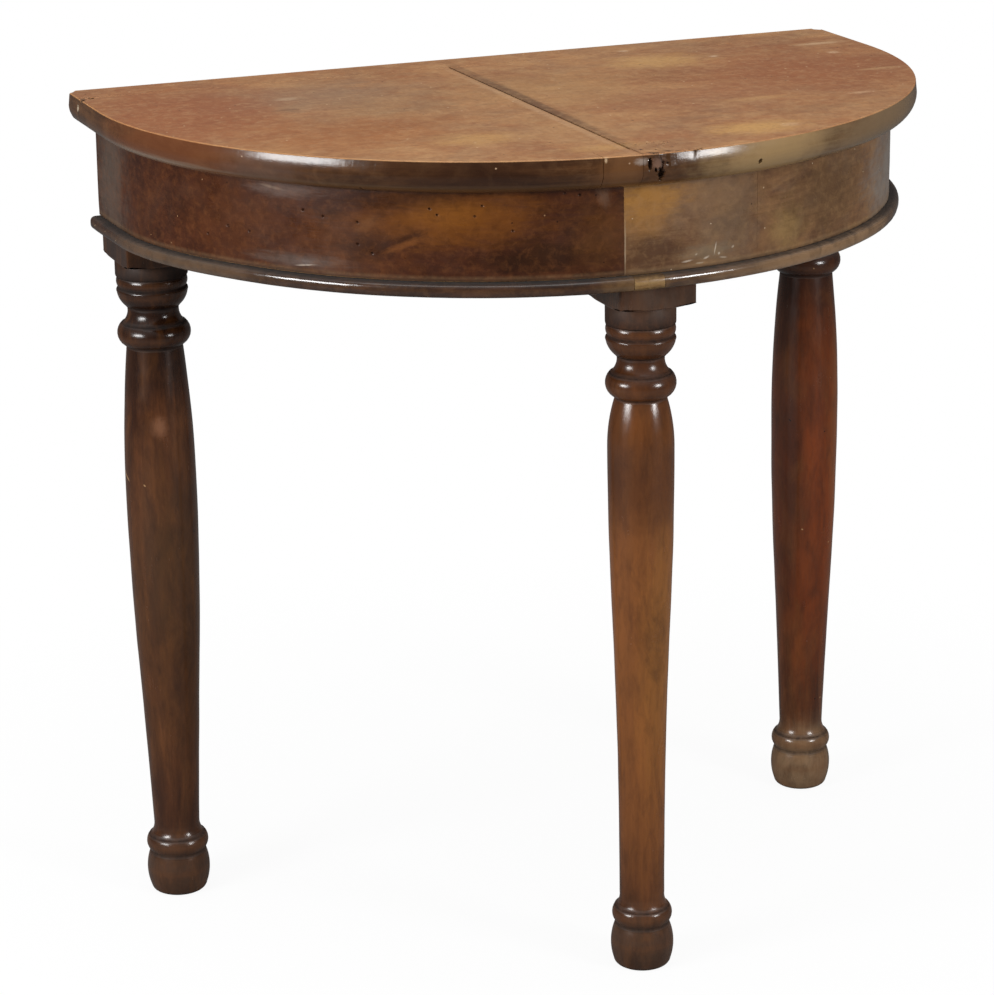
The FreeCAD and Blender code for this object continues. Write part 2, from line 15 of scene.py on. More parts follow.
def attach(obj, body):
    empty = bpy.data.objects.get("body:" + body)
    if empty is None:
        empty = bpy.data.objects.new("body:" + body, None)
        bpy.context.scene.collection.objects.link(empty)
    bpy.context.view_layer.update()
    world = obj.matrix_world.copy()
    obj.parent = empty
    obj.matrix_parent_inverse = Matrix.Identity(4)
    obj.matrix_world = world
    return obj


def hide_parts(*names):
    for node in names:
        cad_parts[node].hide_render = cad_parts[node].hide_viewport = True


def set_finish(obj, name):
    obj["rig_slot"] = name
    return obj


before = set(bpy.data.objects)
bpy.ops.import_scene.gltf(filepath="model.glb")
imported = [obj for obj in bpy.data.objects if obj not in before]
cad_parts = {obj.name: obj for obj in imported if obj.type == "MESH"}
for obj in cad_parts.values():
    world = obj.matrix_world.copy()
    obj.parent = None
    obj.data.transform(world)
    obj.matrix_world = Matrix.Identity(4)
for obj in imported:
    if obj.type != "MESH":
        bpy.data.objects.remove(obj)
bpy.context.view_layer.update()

MM = 0.001
scene = bpy.context.scene
scene.view_settings.view_transform = "Standard"

# %% [markdown]
# ## The camera
# The photograph was taken from the left front, a little above the top, with a long lens. The angles below
# were found by fitting the table's known edges to the picture. The camera's matrix is built from its own
# right, up and backward directions, which is easier to read than turning it by three angles.

# %% Camera at the photograph's angle
CAMERA_AZIMUTH = math.radians(21.338)
CAMERA_ELEVATION = math.radians(17.388)
CAMERA_ROLL = math.radians(-0.899)
CAMERA_DISTANCE = 3.23178
CAMERA_AIM = Vector((-0.0448, 0.0495, 0.39632))
FOCAL_PIXELS = 3411.73
LONG_SIDE_PIXELS = 995
SENSOR_MM = 36

backward = Vector((-math.sin(CAMERA_AZIMUTH) * math.cos(CAMERA_ELEVATION),
                   -math.cos(CAMERA_AZIMUTH) * math.cos(CAMERA_ELEVATION),
                   math.sin(CAMERA_ELEVATION)))
level = Vector((0, 0, 1)).cross(backward).normalized()
upright = backward.cross(level)
right = level * math.cos(CAMERA_ROLL) + upright * math.sin(CAMERA_ROLL)
up = upright * math.cos(CAMERA_ROLL) - level * math.sin(CAMERA_ROLL)
camera = bpy.data.objects.new("photo_camera", bpy.data.cameras.new("photo_camera"))
camera.data.sensor_width = SENSOR_MM
camera.data.lens = FOCAL_PIXELS * SENSOR_MM / LONG_SIDE_PIXELS
camera.matrix_world = (Matrix.Translation(CAMERA_AIM + backward * CAMERA_DISTANCE)
                       @ Matrix((right, up, backward)).transposed().to_4x4())
scene.collection.objects.link(camera)
scene.camera = camera
print("camera at", tuple(round(c, 3) for c in camera.matrix_world.translation),
      "lens", round(camera.data.lens, 1))

# %% [markdown]
# ## Keeping a finished piece
# Each piece is worked out in a bmesh that carries two numbers on every point: wear, where hands and
# cloths have rubbed the polish thin, and grime, where dirt and old wax have gathered. The materials read
# both later. One helper stores the mesh, shades its curves softly with crisp arrises, and ties it to the
# CAD node it stands for. A shader could guess where edges are worn, but numbers on the points stay the
# same in every view and in the export.

# %% Start a piece, and keep it
CREASE_ANGLE = math.radians(38)
pieces = {}


def start_piece():
    """An empty bmesh whose points will carry wear and grime."""
    work = bmesh.new()
    work.verts.layers.float.new("wear")
    work.verts.layers.float.new("grime")
    return work


def mark(work, layer_name, points, amount):
    """Raise the wear or the grime of some points to an amount."""
    layer = work.verts.layers.float[layer_name]
    for point in points:
        point[layer] = max(point[layer], amount)


def keep_piece(work, node, slot):
    """Store a bmesh as the piece that stands for a CAD node."""
    bmesh.ops.recalc_face_normals(work, faces=work.faces[:])
    mesh = bpy.data.meshes.new(node + "_finished")
    work.to_mesh(mesh)
    work.free()
    mesh.shade_smooth()
    mesh.set_sharp_from_angle(angle=CREASE_ANGLE)
    piece = bpy.data.objects.new(node + "_finished", mesh)
    scene.collection.objects.link(piece)
    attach(piece, "root")
    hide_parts(node)
    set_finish(piece, slot)
    pieces[node] = piece
    mesh.calc_loop_triangles()
    print(f"{piece.name}: {len(mesh.loop_triangles)} triangles")


print("layers on every piece: wear and grime")

# %% [markdown]
# ## The turned legs
# A turner cuts a leg against a pattern of beads, coves and long swells. The same is done here: one point
# is carried from stage to stage, along a straight line or round an arc, and its track is the half
# outline. A full spin about the leg's axis then makes the round. Each stage gives a diameter, a height
# and how far the curve swells out from the straight line (hollows are negative), in millimetres. A Screw
# modifier could turn the outline too. Spin is chosen because it leaves real points, which can be marked
# as worn and moved a little.

# %% The pattern of the back legs and of the slimmer front leg
BACK_TURNING = [
    (44.0, 0.0, 0.0),       # sole
    (54.5, 5.5, 1.2),       # heel
    (54.5, 41.0, 3.2),      # ball of the foot
    (54.5, 43.0, 0.0),      # groove over the ball
    (54.5, 58.0, 2.7),      # foot ring
    (52.5, 58.0, 0.0),      # small step
    (43.8, 71.0, -1.3),     # ankle
    (59.4, 250.0, -0.3),    # lower shaft
    (67.0, 412.0, 0.95),    # belly
    (52.5, 551.0, 1.81),    # neck
    (60.0, 573.0, 6.0),     # big ring
    (58.0, 573.0, 0.0),     # small step
    (47.8, 587.0, -1.8),    # cove
    (47.8, 589.0, 0.0),     # waist
    (49.8, 589.0, 0.0),     # small step
    (66.0, 603.0, 1.6),     # collar
    (63.6, 607.0, 0.9),     # its shoulder
    (63.6, 608.0, 0.0),     # groove over the collar
    (63.6, 618.0, 1.4),     # upper ring
    (67.6, 618.0, 0.0),     # seat of the post
    (67.6, 640.0, 0.0),     # into the post
]
FRONT_TURNING = [           # the same stages, slimmer, with its rings a little lower
    (43.0, 0.0, 0.0),
    (53.0, 5.5, 1.2),
    (50.0, 41.0, 3.2),
    (50.0, 43.0, 0.0),
    (50.0, 58.0, 2.7),
    (48.0, 58.0, 0.0),
    (41.4, 71.0, -1.3),
    (53.0, 345.0, -1.6),
    (59.8, 500.0, 0.85),
    (46.0, 546.0, 1.73),
    (56.0, 568.0, 6.0),
    (54.0, 568.0, 0.0),
    (42.4, 582.0, -1.8),
    (42.4, 584.0, 0.0),
    (44.4, 584.0, 0.0),
    (62.0, 598.0, 1.6),
    (59.6, 602.0, 0.9),
    (59.6, 603.0, 0.0),
    (59.6, 613.0, 1.4),
    (63.0, 613.0, 0.0),
    (63.0, 640.0, 0.0),
]
PATTERN_STEP = 2.5 * MM
SPIN_STEPS = 96
BACK_NECK = 551.0
FRONT_NECK = 546.0
FOOT_GROOVES = (42.0, 58.3)
GROOVES_OVER_NECK = (0.0, 22.4, 37.5, 56.5, 67.3)
FOOT_ROUNDS = (24.0, 50.5)
ROUNDS_OVER_NECK = (9.0, 50.0, 62.0)
GROOVE_WIDTH = 1.8
ROUND_WIDTH = 3.0
ROUND_WEAR = 0.6
print("stages:", len(BACK_TURNING), "and", len(FRONT_TURNING))


# %% Draw a pattern, then spin it
def draw_turning(work, stages):
    """Carry one point through the stages; its track is half the leg's outline."""
    tip = work.verts.new((stages[0][0] / 2 * MM, 0, stages[0][1] * MM))
    for diameter, height, swell in stages[1:]:
        goal = Vector((diameter / 2 * MM, 0, height * MM))
        chord = goal - tip.co
        if swell == 0:
            tip = bmesh.ops.extrude_vert_indiv(work, verts=[tip])["verts"][0]
        else:
            rise = abs(swell) * MM
            half = chord.length / 2
            radius = half * half / (2 * rise) + rise / 2
            to_centre = Vector((-chord.z, 0, chord.x)).normalized() * math.copysign(radius - rise, swell)
            arc = bmesh.ops.spin(
                work, geom=[tip], cent=tip.co + chord / 2 + to_centre, axis=(0, -1, 0),
                angle=math.copysign(2 * math.asin(half / radius), swell),
                steps=max(6, round(chord.length / PATTERN_STEP)))
            tip = next(item for item in arc["geom_last"] if isinstance(item, bmesh.types.BMVert))
        tip.co = goal


def nearness(value, marks, width):
    """1 on the nearest of some marks, and less with the distance from it; all in millimetres."""
    return max(math.exp(-((value - spot) / width) ** 2) for spot in marks)


def turn_leg(work, stages, neck):
    """Spin the pattern into a closed leg, with grime in its grooves and rubbed rounds."""
    draw_turning(work, stages)
    grooves = [*FOOT_GROOVES, *(neck + rise for rise in GROOVES_OVER_NECK)]
    rounds = [*FOOT_ROUNDS, *(neck + rise for rise in ROUNDS_OVER_NECK)]
    for point in work.verts:
        height = point.co.z / MM
        mark(work, "grime", [point], nearness(height, grooves, GROOVE_WIDTH))
        mark(work, "wear", [point], ROUND_WEAR * nearness(height, rounds, ROUND_WIDTH))
    bmesh.ops.spin(work, geom=work.verts[:] + work.edges[:], cent=(0, 0, 0), axis=(0, 0, 1),
                   angle=math.tau, steps=SPIN_STEPS, use_merge=True)
    bmesh.ops.holes_fill(work, edges=[edge for edge in work.edges if edge.is_boundary])


trial = start_piece()
draw_turning(trial, BACK_TURNING)
print("points along the back legs' pattern:", len(trial.verts))
trial.free()

# %% [markdown]
# Each leg ends in a square post. Below the apron the whole post shows; the lathe has just caught its
# lower corners, so they lift a little. Behind the apron it is notched to fit. The two lengths are two
# boxes: the visible one is cut into a fine net, so that its corners can be lifted and its arrises rubbed
# round.

# %% A box, and rounded arrises
POST_ARRIS = 1.4 * MM
POST_WEAR = 0.25


def add_box(work, low, high):
    """A box between two corners in millimetres; its points are returned."""
    low, high = Vector(low) * MM, Vector(high) * MM
    place = Matrix.Translation((low + high) / 2) @ Matrix.Diagonal((*(high - low), 1))
    return bmesh.ops.create_cube(work, size=1, matrix=place)["verts"]


def bevel_edges(work, edges, width, segments):
    """Round some edges by a width in metres, and return what was made."""
    return bmesh.ops.bevel(work, geom=edges, offset=width, offset_type="OFFSET", segments=segments,
                           profile=0.5, affect="EDGES", material=-1)


def round_arrises(work, points, width, wear, segments=3):
    """Round the sharp edges between some points and mark them as worn."""
    chosen = set(points)
    sharp = [edge for edge in work.edges if chosen.issuperset(edge.verts) and edge.calc_face_angle(0) > 1]
    made = bevel_edges(work, sharp, width, segments)
    mark(work, "wear", {point for face in made["faces"] for point in face.verts}, wear)


print("arrises of the posts are", POST_ARRIS / MM, "mm round")

# %% Posts, and a hand that wasn't perfectly steady
POST_LIFT = 3.0 * MM
POST_NET = 15
UNEVENNESS = 0.22 * MM
WANDERS_PER_METRE = 28


def add_post(work, axis, low, high):
    """The lower, visible length of a post, with its corners lifted by the lathe."""
    turning = set(work.verts)
    corners = add_box(work, low, high)
    edges = {edge for point in corners for edge in point.link_edges}
    bmesh.ops.subdivide_edges(work, edges=list(edges), cuts=POST_NET, use_grid_fill=True)
    points = [point for point in work.verts if point not in turning]
    half_depth = (high[1] - low[1]) / 2 * MM
    corner = math.hypot(half_depth, (high[0] - low[0]) / 2 * MM)
    for point in points:
        reach = (point.co.xy - Vector(axis) * MM).length
        if reach > half_depth and point.co.z < low[2] * MM + POST_LIFT:
            share = (reach - half_depth) / (corner - half_depth)
            point.co.z = max(point.co.z, low[2] * MM + POST_LIFT * share ** 1.5)
    round_arrises(work, points, POST_ARRIS, POST_WEAR)


def build_leg(node, stages, neck, axis, post_low, post_high, notched_low, notched_high):
    """Turn a leg on its axis, let it stray a little, and set its two lengths of post on it."""
    work = start_piece()
    turn_leg(work, stages, neck)
    bmesh.ops.translate(work, verts=work.verts[:], vec=(axis[0] * MM, axis[1] * MM, 0))
    for point in work.verts:
        outward = Vector((point.co.x - axis[0] * MM, point.co.y - axis[1] * MM, 0)).normalized()
        point.co += outward * noise.noise(point.co * WANDERS_PER_METRE) * UNEVENNESS
    add_post(work, axis, post_low, post_high)
    upper = add_box(work, notched_low, notched_high)
    round_arrises(work, upper, POST_ARRIS / 2, 0.8 * POST_WEAR, segments=2)
    keep_piece(work, node, "leg_walnut")


print("post corners lifted by", POST_LIFT / MM, "mm")

# %% The three legs in their places
POST_FOOT = 632.5
APRON_FOOT = 658.0
TOP_UNDERSIDE = 750.0
build_leg("left_leg", BACK_TURNING, BACK_NECK, (-339, 169.5),
          (-373, 127.5, POST_FOOT), (-305, 211.5, APRON_FOOT),
          (-340, 127.5, APRON_FOOT - 1), (-305, 211.5, TOP_UNDERSIDE))
build_leg("right_leg", BACK_TURNING, BACK_NECK, (339, 169.5),
          (305, 127.5, POST_FOOT), (373, 211.5, APRON_FOOT),
          (305, 127.5, APRON_FOOT - 1), (340, 211.5, TOP_UNDERSIDE))
build_leg("front_leg", FRONT_TURNING, FRONT_NECK, (8, -168),
          (-28, -207, POST_FOOT), (44, -129, APRON_FOOT),
          (-28, -196, APRON_FOOT - 1), (44, -129, TOP_UNDERSIDE))

# %% [markdown]
# ## The top
# The top is two boards that meet a little left of the middle, a small repair let into the front edge, and
# a strip along the back. All but the strip are sawn from one D: half a disc with its straight side drawn
# out to the back. Rounding the rim before sawing keeps the rims in line, as they are on the real table.

# %% Measures of the D
TOP_RADIUS = 391.0
CURVE_CENTRE_Y = 141.5
BACK_EDGE_Y = 249.5
STRIP_FRONT_Y = 208.5
TOP_HEIGHT = 780.0


def rim_reach(place):
    """How far out a place lies in millimetres, measured to the round front or to the straight sides."""
    x, y = place.x / MM, place.y / MM
    return abs(x) if y > CURVE_CENTRE_Y else math.hypot(x, y - CURVE_CENTRE_Y)


def outward_of(point):
    """The level direction from the curve's centre, or straight out on the sides."""
    return Vector((point.co.x, min(0, point.co.y - CURVE_CENTRE_Y * MM), 0)).normalized()


print("D", 2 * TOP_RADIUS, "by", TOP_RADIUS + BACK_EDGE_Y - CURVE_CENTRE_Y, "mm")

# %% Find the rim's edges and round them
EDGE_ROUND = 18.0
ARRIS_ROUND = 1.2
RIM_TOLERANCE = 0.05
SAME_PLACE = 1e-6


def level_edges(work, height, on_rim):
    """Sharp edges at one height that lie on the rim, or that don't."""
    found = []
    for edge in work.edges:
        at_height = all(abs(point.co.z - height * MM) < SAME_PLACE for point in edge.verts)
        end = edge.verts[0].co
        middle = (end + edge.verts[1].co) / 2
        along_rim = all(abs(rim_reach(place) - TOP_RADIUS) < RIM_TOLERANCE for place in (end, middle))
        if at_height and along_rim == on_rim and edge.calc_face_angle(0) > 1:
            found.append(edge)
    return found


def round_rim(work):
    """Round the rim far under, and its upper arris a little."""
    for height, size, segments in ((TOP_UNDERSIDE, EDGE_ROUND, 12), (TOP_HEIGHT, ARRIS_ROUND, 4)):
        work.normal_update()
        bevel_edges(work, level_edges(work, height, True), size * MM, segments)


print("rim rounded by", EDGE_ROUND, "mm below and", ARRIS_ROUND, "mm above")

# %% Make the whole D
RIM_POINTS = 720


def everything(work):
    """All points, edges and faces, as the cutting operators want them."""
    return work.verts[:] + work.edges[:] + work.faces[:]


def new_points(made):
    """The points among what an operator has made."""
    return [item for item in made["geom"] if isinstance(item, bmesh.types.BMVert)]


def cut(work, geom, place, direction, drop=False):
    """Cut through some geometry at a place in metres; what lies ahead of the cut may be dropped."""
    return bmesh.ops.bisect_plane(work, geom=geom, plane_co=place, plane_no=direction,
                                  clear_outer=drop, dist=SAME_PLACE)


def whole_top():
    """The D as one thick board, up to the front of the back strip."""
    work = start_piece()
    bmesh.ops.create_circle(work, cap_ends=True, segments=RIM_POINTS, radius=TOP_RADIUS * MM,
                            matrix=Matrix.Translation((0, CURVE_CENTRE_Y * MM, TOP_UNDERSIDE * MM)))
    cut(work, everything(work), (0, CURVE_CENTRE_Y * MM, 0), (0, 1, 0), drop=True)
    bmesh.ops.remove_doubles(work, verts=work.verts[:], dist=RIM_TOLERANCE * MM)
    straight = [edge for edge in work.edges
                if all(abs(point.co.y - CURVE_CENTRE_Y * MM) < SAME_PLACE for point in edge.verts)]
    drawn = bmesh.ops.extrude_edge_only(work, edges=straight)
    bmesh.ops.translate(work, verts=new_points(drawn), vec=(0, (STRIP_FRONT_Y - CURVE_CENTRE_Y) * MM, 0))
    raised = bmesh.ops.extrude_face_region(work, geom=work.faces[:])
    bmesh.ops.translate(work, verts=new_points(raised), vec=(0, 0, (TOP_HEIGHT - TOP_UNDERSIDE) * MM))
    round_rim(work)
    return work


print("points on a full rim:", RIM_POINTS)

# %% [markdown]
# A saw cut drops what lies ahead of a plane and closes the wound with a face. The joints are then eased
# by a fine bevel. Close under the arris the rim swells very slightly, which gives the long soft highlight
# there. A narrow inset round the flat faces keeps the rounding's shading from leaking across the boards,
# and a net of small faces lets the board lie as unevenly as old wood does.

# %% Saw a board and net its upper face
SAME_LEVEL = 1e-5
NET_MM = 14.0
NET_START = 0.37


def saw(work, place, direction):
    """Drop what lies ahead of a cut at a place in millimetres, and close the cut."""
    made = cut(work, everything(work), Vector(place) * MM, direction, drop=True)
    edges = [item for item in made["geom_cut"] if isinstance(item, bmesh.types.BMEdge)]
    bmesh.ops.contextual_create(work, geom=edges)


def flat_faces(work, height):
    """The level faces at one height in millimetres."""
    return [face for face in work.faces
            if abs(face.normal.z) > 0.999 and abs(face.calc_center_median().z - height * MM) < SAME_LEVEL]


def with_borders(faces):
    """Some faces with their edges and points, for a cut that leaves the others whole."""
    edges = {edge for face in faces for edge in face.edges}
    points = {point for face in faces for point in face.verts}
    return [*faces, *edges, *points]


def net_upper_face(work):
    """Cut the upper face into a net of small faces."""
    for axis, reach in ((0, TOP_RADIUS), (1, BACK_EDGE_Y)):
        for step in range(-int(reach // NET_MM), int(reach // NET_MM) + 1):
            direction = Vector()
            direction[axis] = 1
            place = direction * ((step + NET_START) * NET_MM * MM)
            cut(work, with_borders(flat_faces(work, TOP_HEIGHT)), place, direction)


print("net of", NET_MM, "mm")

# %% Ease the joints of a board
SEAM_X = -25.0
SEAM_REACH = 2.0
SEAM_EASE = 0.9
JOINT_EASE = 0.2
JOINT_GRIME = 0.7
INSET_MM = 2.0


def ease_joints(work):
    """Ease the edges of the joints, frame the flat faces, and soil what was eased."""
    eased = []
    for at_seam, size in ((True, SEAM_EASE), (False, JOINT_EASE)):
        work.normal_update()
        edges = [edge for edge in level_edges(work, TOP_HEIGHT, False)
                 if at_seam == all(abs(point.co.x - SEAM_X * MM) < SEAM_REACH * MM for point in edge.verts)]
        joints = bevel_edges(work, edges, size * MM, 2)
        eased.extend((face, size) for face in joints["faces"])
    work.normal_update()
    for height in (TOP_UNDERSIDE, TOP_HEIGHT):
        bmesh.ops.inset_region(work, faces=flat_faces(work, height), thickness=INSET_MM * MM,
                               use_even_offset=False)
    for face, size in eased:
        if face.is_valid:
            mark(work, "grime", face.verts, JOINT_GRIME * size)


print("joints eased by", SEAM_EASE, "and", JOINT_EASE, "mm")

# %% Wear the rim and let the board lie unevenly
LEFT_RIM_WEAR = 1.0
RIGHT_RIM_WEAR = 0.25
WORN_RIM_END_X = -40.0
RIM_BAND = 5.0
RIM_BELLY = 1.35
BELLY_HEIGHT = 12.0
BOARD_UNEVENNESS = 0.25
BOARD_WANDERS_PER_METRE = 9


def finish_board(work):
    """Ease the joints, net the upper face, and let rim and board stray a little from the true shape."""
    ease_joints(work)
    for point in work.verts:
        inward, below = TOP_RADIUS - rim_reach(point.co), TOP_HEIGHT - point.co.z / MM
        if max(inward, below) < 0.9 * ARRIS_ROUND:
            worn_side = point.co.x < WORN_RIM_END_X * MM
            mark(work, "wear", [point], LEFT_RIM_WEAR if worn_side else RIGHT_RIM_WEAR)
    net_upper_face(work)
    for point in work.verts:
        over_belly = point.co.z / MM - TOP_HEIGHT + BELLY_HEIGHT
        if over_belly > 0 and rim_reach(point.co) > TOP_RADIUS - RIM_BAND:
            point.co -= outward_of(point) * RIM_BELLY * MM * (over_belly / BELLY_HEIGHT) ** 2
        if over_belly > BELLY_HEIGHT - 0.01:
            wander = noise.noise(point.co * BOARD_WANDERS_PER_METRE) - 1
            point.co.z += wander * BOARD_UNEVENNESS / 2 * MM


print("boards uneven by", BOARD_UNEVENNESS, "mm")

# %% [markdown]
# Beside the joint the front of the right board is worm-eaten: two ragged holes in the rim and a scatter
# of pits on the face. Such damage needs small faces only where it is, so the edges near a mark are halved
# until they are short enough, and the points under the mark are then pressed in. Boolean cuts would leave
# clean holes with sharp rims, and bump alone would be missing from the mesh.

# %% Helpers for pits and dents
PIT_RAGS_PER_METRE = 700
PIT_STEEPNESS = 1.6
PIT_SOIL = 1.5
chance = random.Random(7)


def refine(work, centre, reach, finest, above=0):
    """Halve the edges near a place and above a height until none is longer than the finest size."""
    centre = Vector(centre) * MM
    while True:
        long_edges = [edge for edge in work.edges if edge.calc_length() > finest * MM
                      and min((point.co - centre).length for point in edge.verts) < reach * MM
                      and min(point.co.z for point in edge.verts) > above * MM]
        if not long_edges:
            return
        bmesh.ops.subdivide_edges(work, edges=long_edges, cuts=1, use_grid_fill=True)


def press(work, centre, size, push, ragged=0.35, soil=1.0):
    """Press the points inside an ellipsoid along a push, deepest in the middle; the hollow gathers grime."""
    centre, push = Vector(centre) * MM, Vector(push) * MM
    for point in work.verts:
        offset = (point.co - centre) / MM
        inside = math.sqrt(sum((offset[i] / size[i]) ** 2 for i in range(3)))
        inside += ragged * noise.noise(point.co * PIT_RAGS_PER_METRE)
        if inside < 1:
            share = min(1, PIT_STEEPNESS * (1 - inside))
            point.co += push * share
            mark(work, "grime", [point], min(1, PIT_SOIL * share) * soil)


print("seeded chance, so that every run gives the same pits")

# %% The left board, sawn round the repair
SEAM_LEFT_X = -25.6
SEAM_RIGHT_X = -24.4
PATCH_LEFT_X = -59.6
PATCH_DEPTH = 22.0
SEAM_DIRT_DEPTH = 6.0
GLUE_REACH = 0.01
BOARD_CHIPS = ((-386, 205), (-378, 206), (-389, 200))
PATCH_INNER_Y = CURVE_CENTRE_Y - math.sqrt(TOP_RADIUS ** 2 - PATCH_LEFT_X ** 2) + PATCH_DEPTH

left_board = whole_top()
saw(left_board, (PATCH_LEFT_X, 0, 0), (1, 0, 0))
cut(left_board, everything(left_board), (0, PATCH_INNER_Y * MM, 0), (0, 1, 0))
behind_repair = whole_top()
saw(behind_repair, (SEAM_LEFT_X, 0, 0), (1, 0, 0))
saw(behind_repair, (PATCH_LEFT_X, 0, 0), (-1, 0, 0))
saw(behind_repair, (0, PATCH_INNER_Y, 0), (0, -1, 0))
behind_mesh = bpy.data.meshes.new("behind_repair")
behind_repair.to_mesh(behind_mesh)
behind_repair.free()
left_board.from_mesh(behind_mesh)
bpy.data.meshes.remove(behind_mesh)
glued = [face for face in left_board.faces if face.calc_center_median().y > PATCH_INNER_Y * MM
         and all(abs(point.co.x - PATCH_LEFT_X * MM) < SAME_PLACE for point in face.verts)]
bmesh.ops.delete(left_board, geom=glued, context="FACES_ONLY")
bmesh.ops.remove_doubles(left_board, verts=left_board.verts[:], dist=GLUE_REACH * MM)
finish_board(left_board)
for x, y in BOARD_CHIPS:
    refine(left_board, (x, y, TOP_HEIGHT), 9, 2.0)
    press(left_board, (x, y, TOP_HEIGHT), (4, 4, 6), (0, 0, -2.2))
seam_dirt = add_box(left_board, (SEAM_LEFT_X - 0.3, PATCH_INNER_Y, TOP_UNDERSIDE + 1),
                    (SEAM_RIGHT_X - 0.1, STRIP_FRONT_Y, TOP_HEIGHT - SEAM_DIRT_DEPTH))
mark(left_board, "grime", seam_dirt, 1.0)
keep_piece(left_board, "top_left_board", "top_walnut")

# %% The right board and its worm-eaten corner
RIM_HOLES = (
    ((-18, -249, 771), (2.2, 8, 5.5)), ((-8, -249, 762), (3.2, 8, 7.5)), ((-2, -250, 772), (1.8, 8, 2.4)),
    ((-13, -249, 766), (1.3, 8, 2.4)), ((-6, -249, 772), (1.2, 8, 1.8)), ((89, -239, 762), (1.6, 8, 2.0)),
)
PIT_FIELDS = (
    (14, (-7, -244), (7, 2), (1.5, 2.8)),       # how many, where, how widely, how large
    (26, (2, -218), (17, 12), (0.9, 1.9)),
    (12, (10, -246), (14, 1), (1.1, 2.0)),
)
right_board = whole_top()
saw(right_board, (SEAM_RIGHT_X, 0, 0), (-1, 0, 0))
finish_board(right_board)
for spot, size in RIM_HOLES:
    refine(right_board, spot, 9, 1.0)
    press(right_board, spot, size, (0, 5, 0), ragged=0.5)
refine(right_board, (0, -220, TOP_HEIGHT), 28, 1.1)
refine(right_board, (-7, -243, TOP_HEIGHT), 14, 0.7)
refine(right_board, (18, -244, TOP_HEIGHT), 16, 0.8, above=TOP_HEIGHT - 0.8)
for count, middle, spread, sizes in PIT_FIELDS:
    for _ in range(count):
        pit = [chance.gauss(middle[i], spread[i]) for i in (0, 1)]
        size = chance.uniform(*sizes)
        press(right_board, (*pit, TOP_HEIGHT), (size * 1.4, size, 3), (0, 0, -2.0))
keep_piece(right_board, "top_right_board", "top_walnut")

# %% [markdown]
# The two back corners of the strip have been knocked round. A bevel can't follow the rim's own rounding
# there, so the corner gets a fan of saw lines, and its points are then drawn in: the distance to the
# inner end of the wear is measured first as if in squares and then as if in circles, and the square
# outline turns into a round one.

# %% Wear a back corner round
CORNER_WEAR = 9.0
CORNER_DROP = 2.5
CORNER_CUTS = 6
CORNER_DEPTH = 10.0


def wear_corner(work, side):
    """Wear the back corner at one end of the strip to a round that is lowest at its tip."""
    inner = Vector((side * (TOP_RADIUS - CORNER_WEAR), BACK_EDGE_Y - CORNER_WEAR, 0)) * MM
    for direction in (Vector((side, 0, 0)), Vector((0, 1, 0))):
        for step in range(CORNER_CUTS):
            near = [face for face in work.faces if max((v.co.x - inner.x) * side for v in face.verts) > 0]
            reach = CORNER_WEAR * MM * math.tan(math.radians(45) * step / CORNER_CUTS)
            cut(work, with_borders(near), inner + direction * reach, direction)
    for point in work.verts:
        out = Vector(((point.co.x - inner.x) * side, point.co.y - inner.y)) / (CORNER_WEAR * MM)
        if min(out) > 0:
            share = max(out)
            angle = math.atan2(out.y, out.x)
            near_top = max(0, 1 - (TOP_HEIGHT - point.co.z / MM) / CORNER_DEPTH)
            worn = share ** 4 * math.sin(2 * angle) * near_top
            out *= share / out.length
            point.co.x = inner.x + out.x * CORNER_WEAR * MM * side
            point.co.y = inner.y + out.y * CORNER_WEAR * MM
            point.co.z -= CORNER_DROP * MM * worn
            mark(work, "wear", [point], 0.6 * worn)


print("corners rounded to", CORNER_WEAR, "mm")

# %% The repair piece and the back strip
REPAIR_GAP = 0.15
STRIP_CHIPS = ((-386, 210), (-381, 211))

repair = whole_top()
saw(repair, (SEAM_RIGHT_X - 2 * REPAIR_GAP, 0, 0), (1, 0, 0))
saw(repair, (PATCH_LEFT_X + 3 * REPAIR_GAP, 0, 0), (-1, 0, 0))
saw(repair, (0, PATCH_INNER_Y - REPAIR_GAP, 0), (0, 1, 0))
finish_board(repair)
keep_piece(repair, "top_edge_patch", "top_walnut")

strip = start_piece()
add_box(strip, (-TOP_RADIUS, STRIP_FRONT_Y + REPAIR_GAP, TOP_UNDERSIDE),
        (TOP_RADIUS, BACK_EDGE_Y, TOP_HEIGHT))
round_rim(strip)
finish_board(strip)
for x, y in STRIP_CHIPS:
    refine(strip, (x, y, TOP_HEIGHT), 8, 1.8)
    press(strip, (x, y, TOP_HEIGHT), (4.5, 3, 5), (0, 0, -2.0))
for side in (-1, 1):
    wear_corner(strip, side)
keep_piece(strip, "top_back_strip", "top_walnut")

# %% [markdown]
# ## The veneered apron
# Three lengths of thin walnut are glued round the bowed core. Each starts as a narrow net, one face deep
# and many high, stood upright at the joint. Spinning that net about the curve's centre bends the sheet,
# and extruding its last face carries it straight to the back. Old veneer is never flat: it is eased in
# and out a little by noise. A flat sheet with a bend modifier could do it, but its straight ends would
# bend too.

# %% Bend a section round the table
FACE_RADIUS = 367.0
CORE_RADIUS = 364.5
VENEER_FOOT = 671.5
APRON_END_Y = 241.5
BEND_STEP = 2.6
STRAIGHT_STEPS = 24
SAG_START_Y = -70.0
LEFT_SAG = 9.0


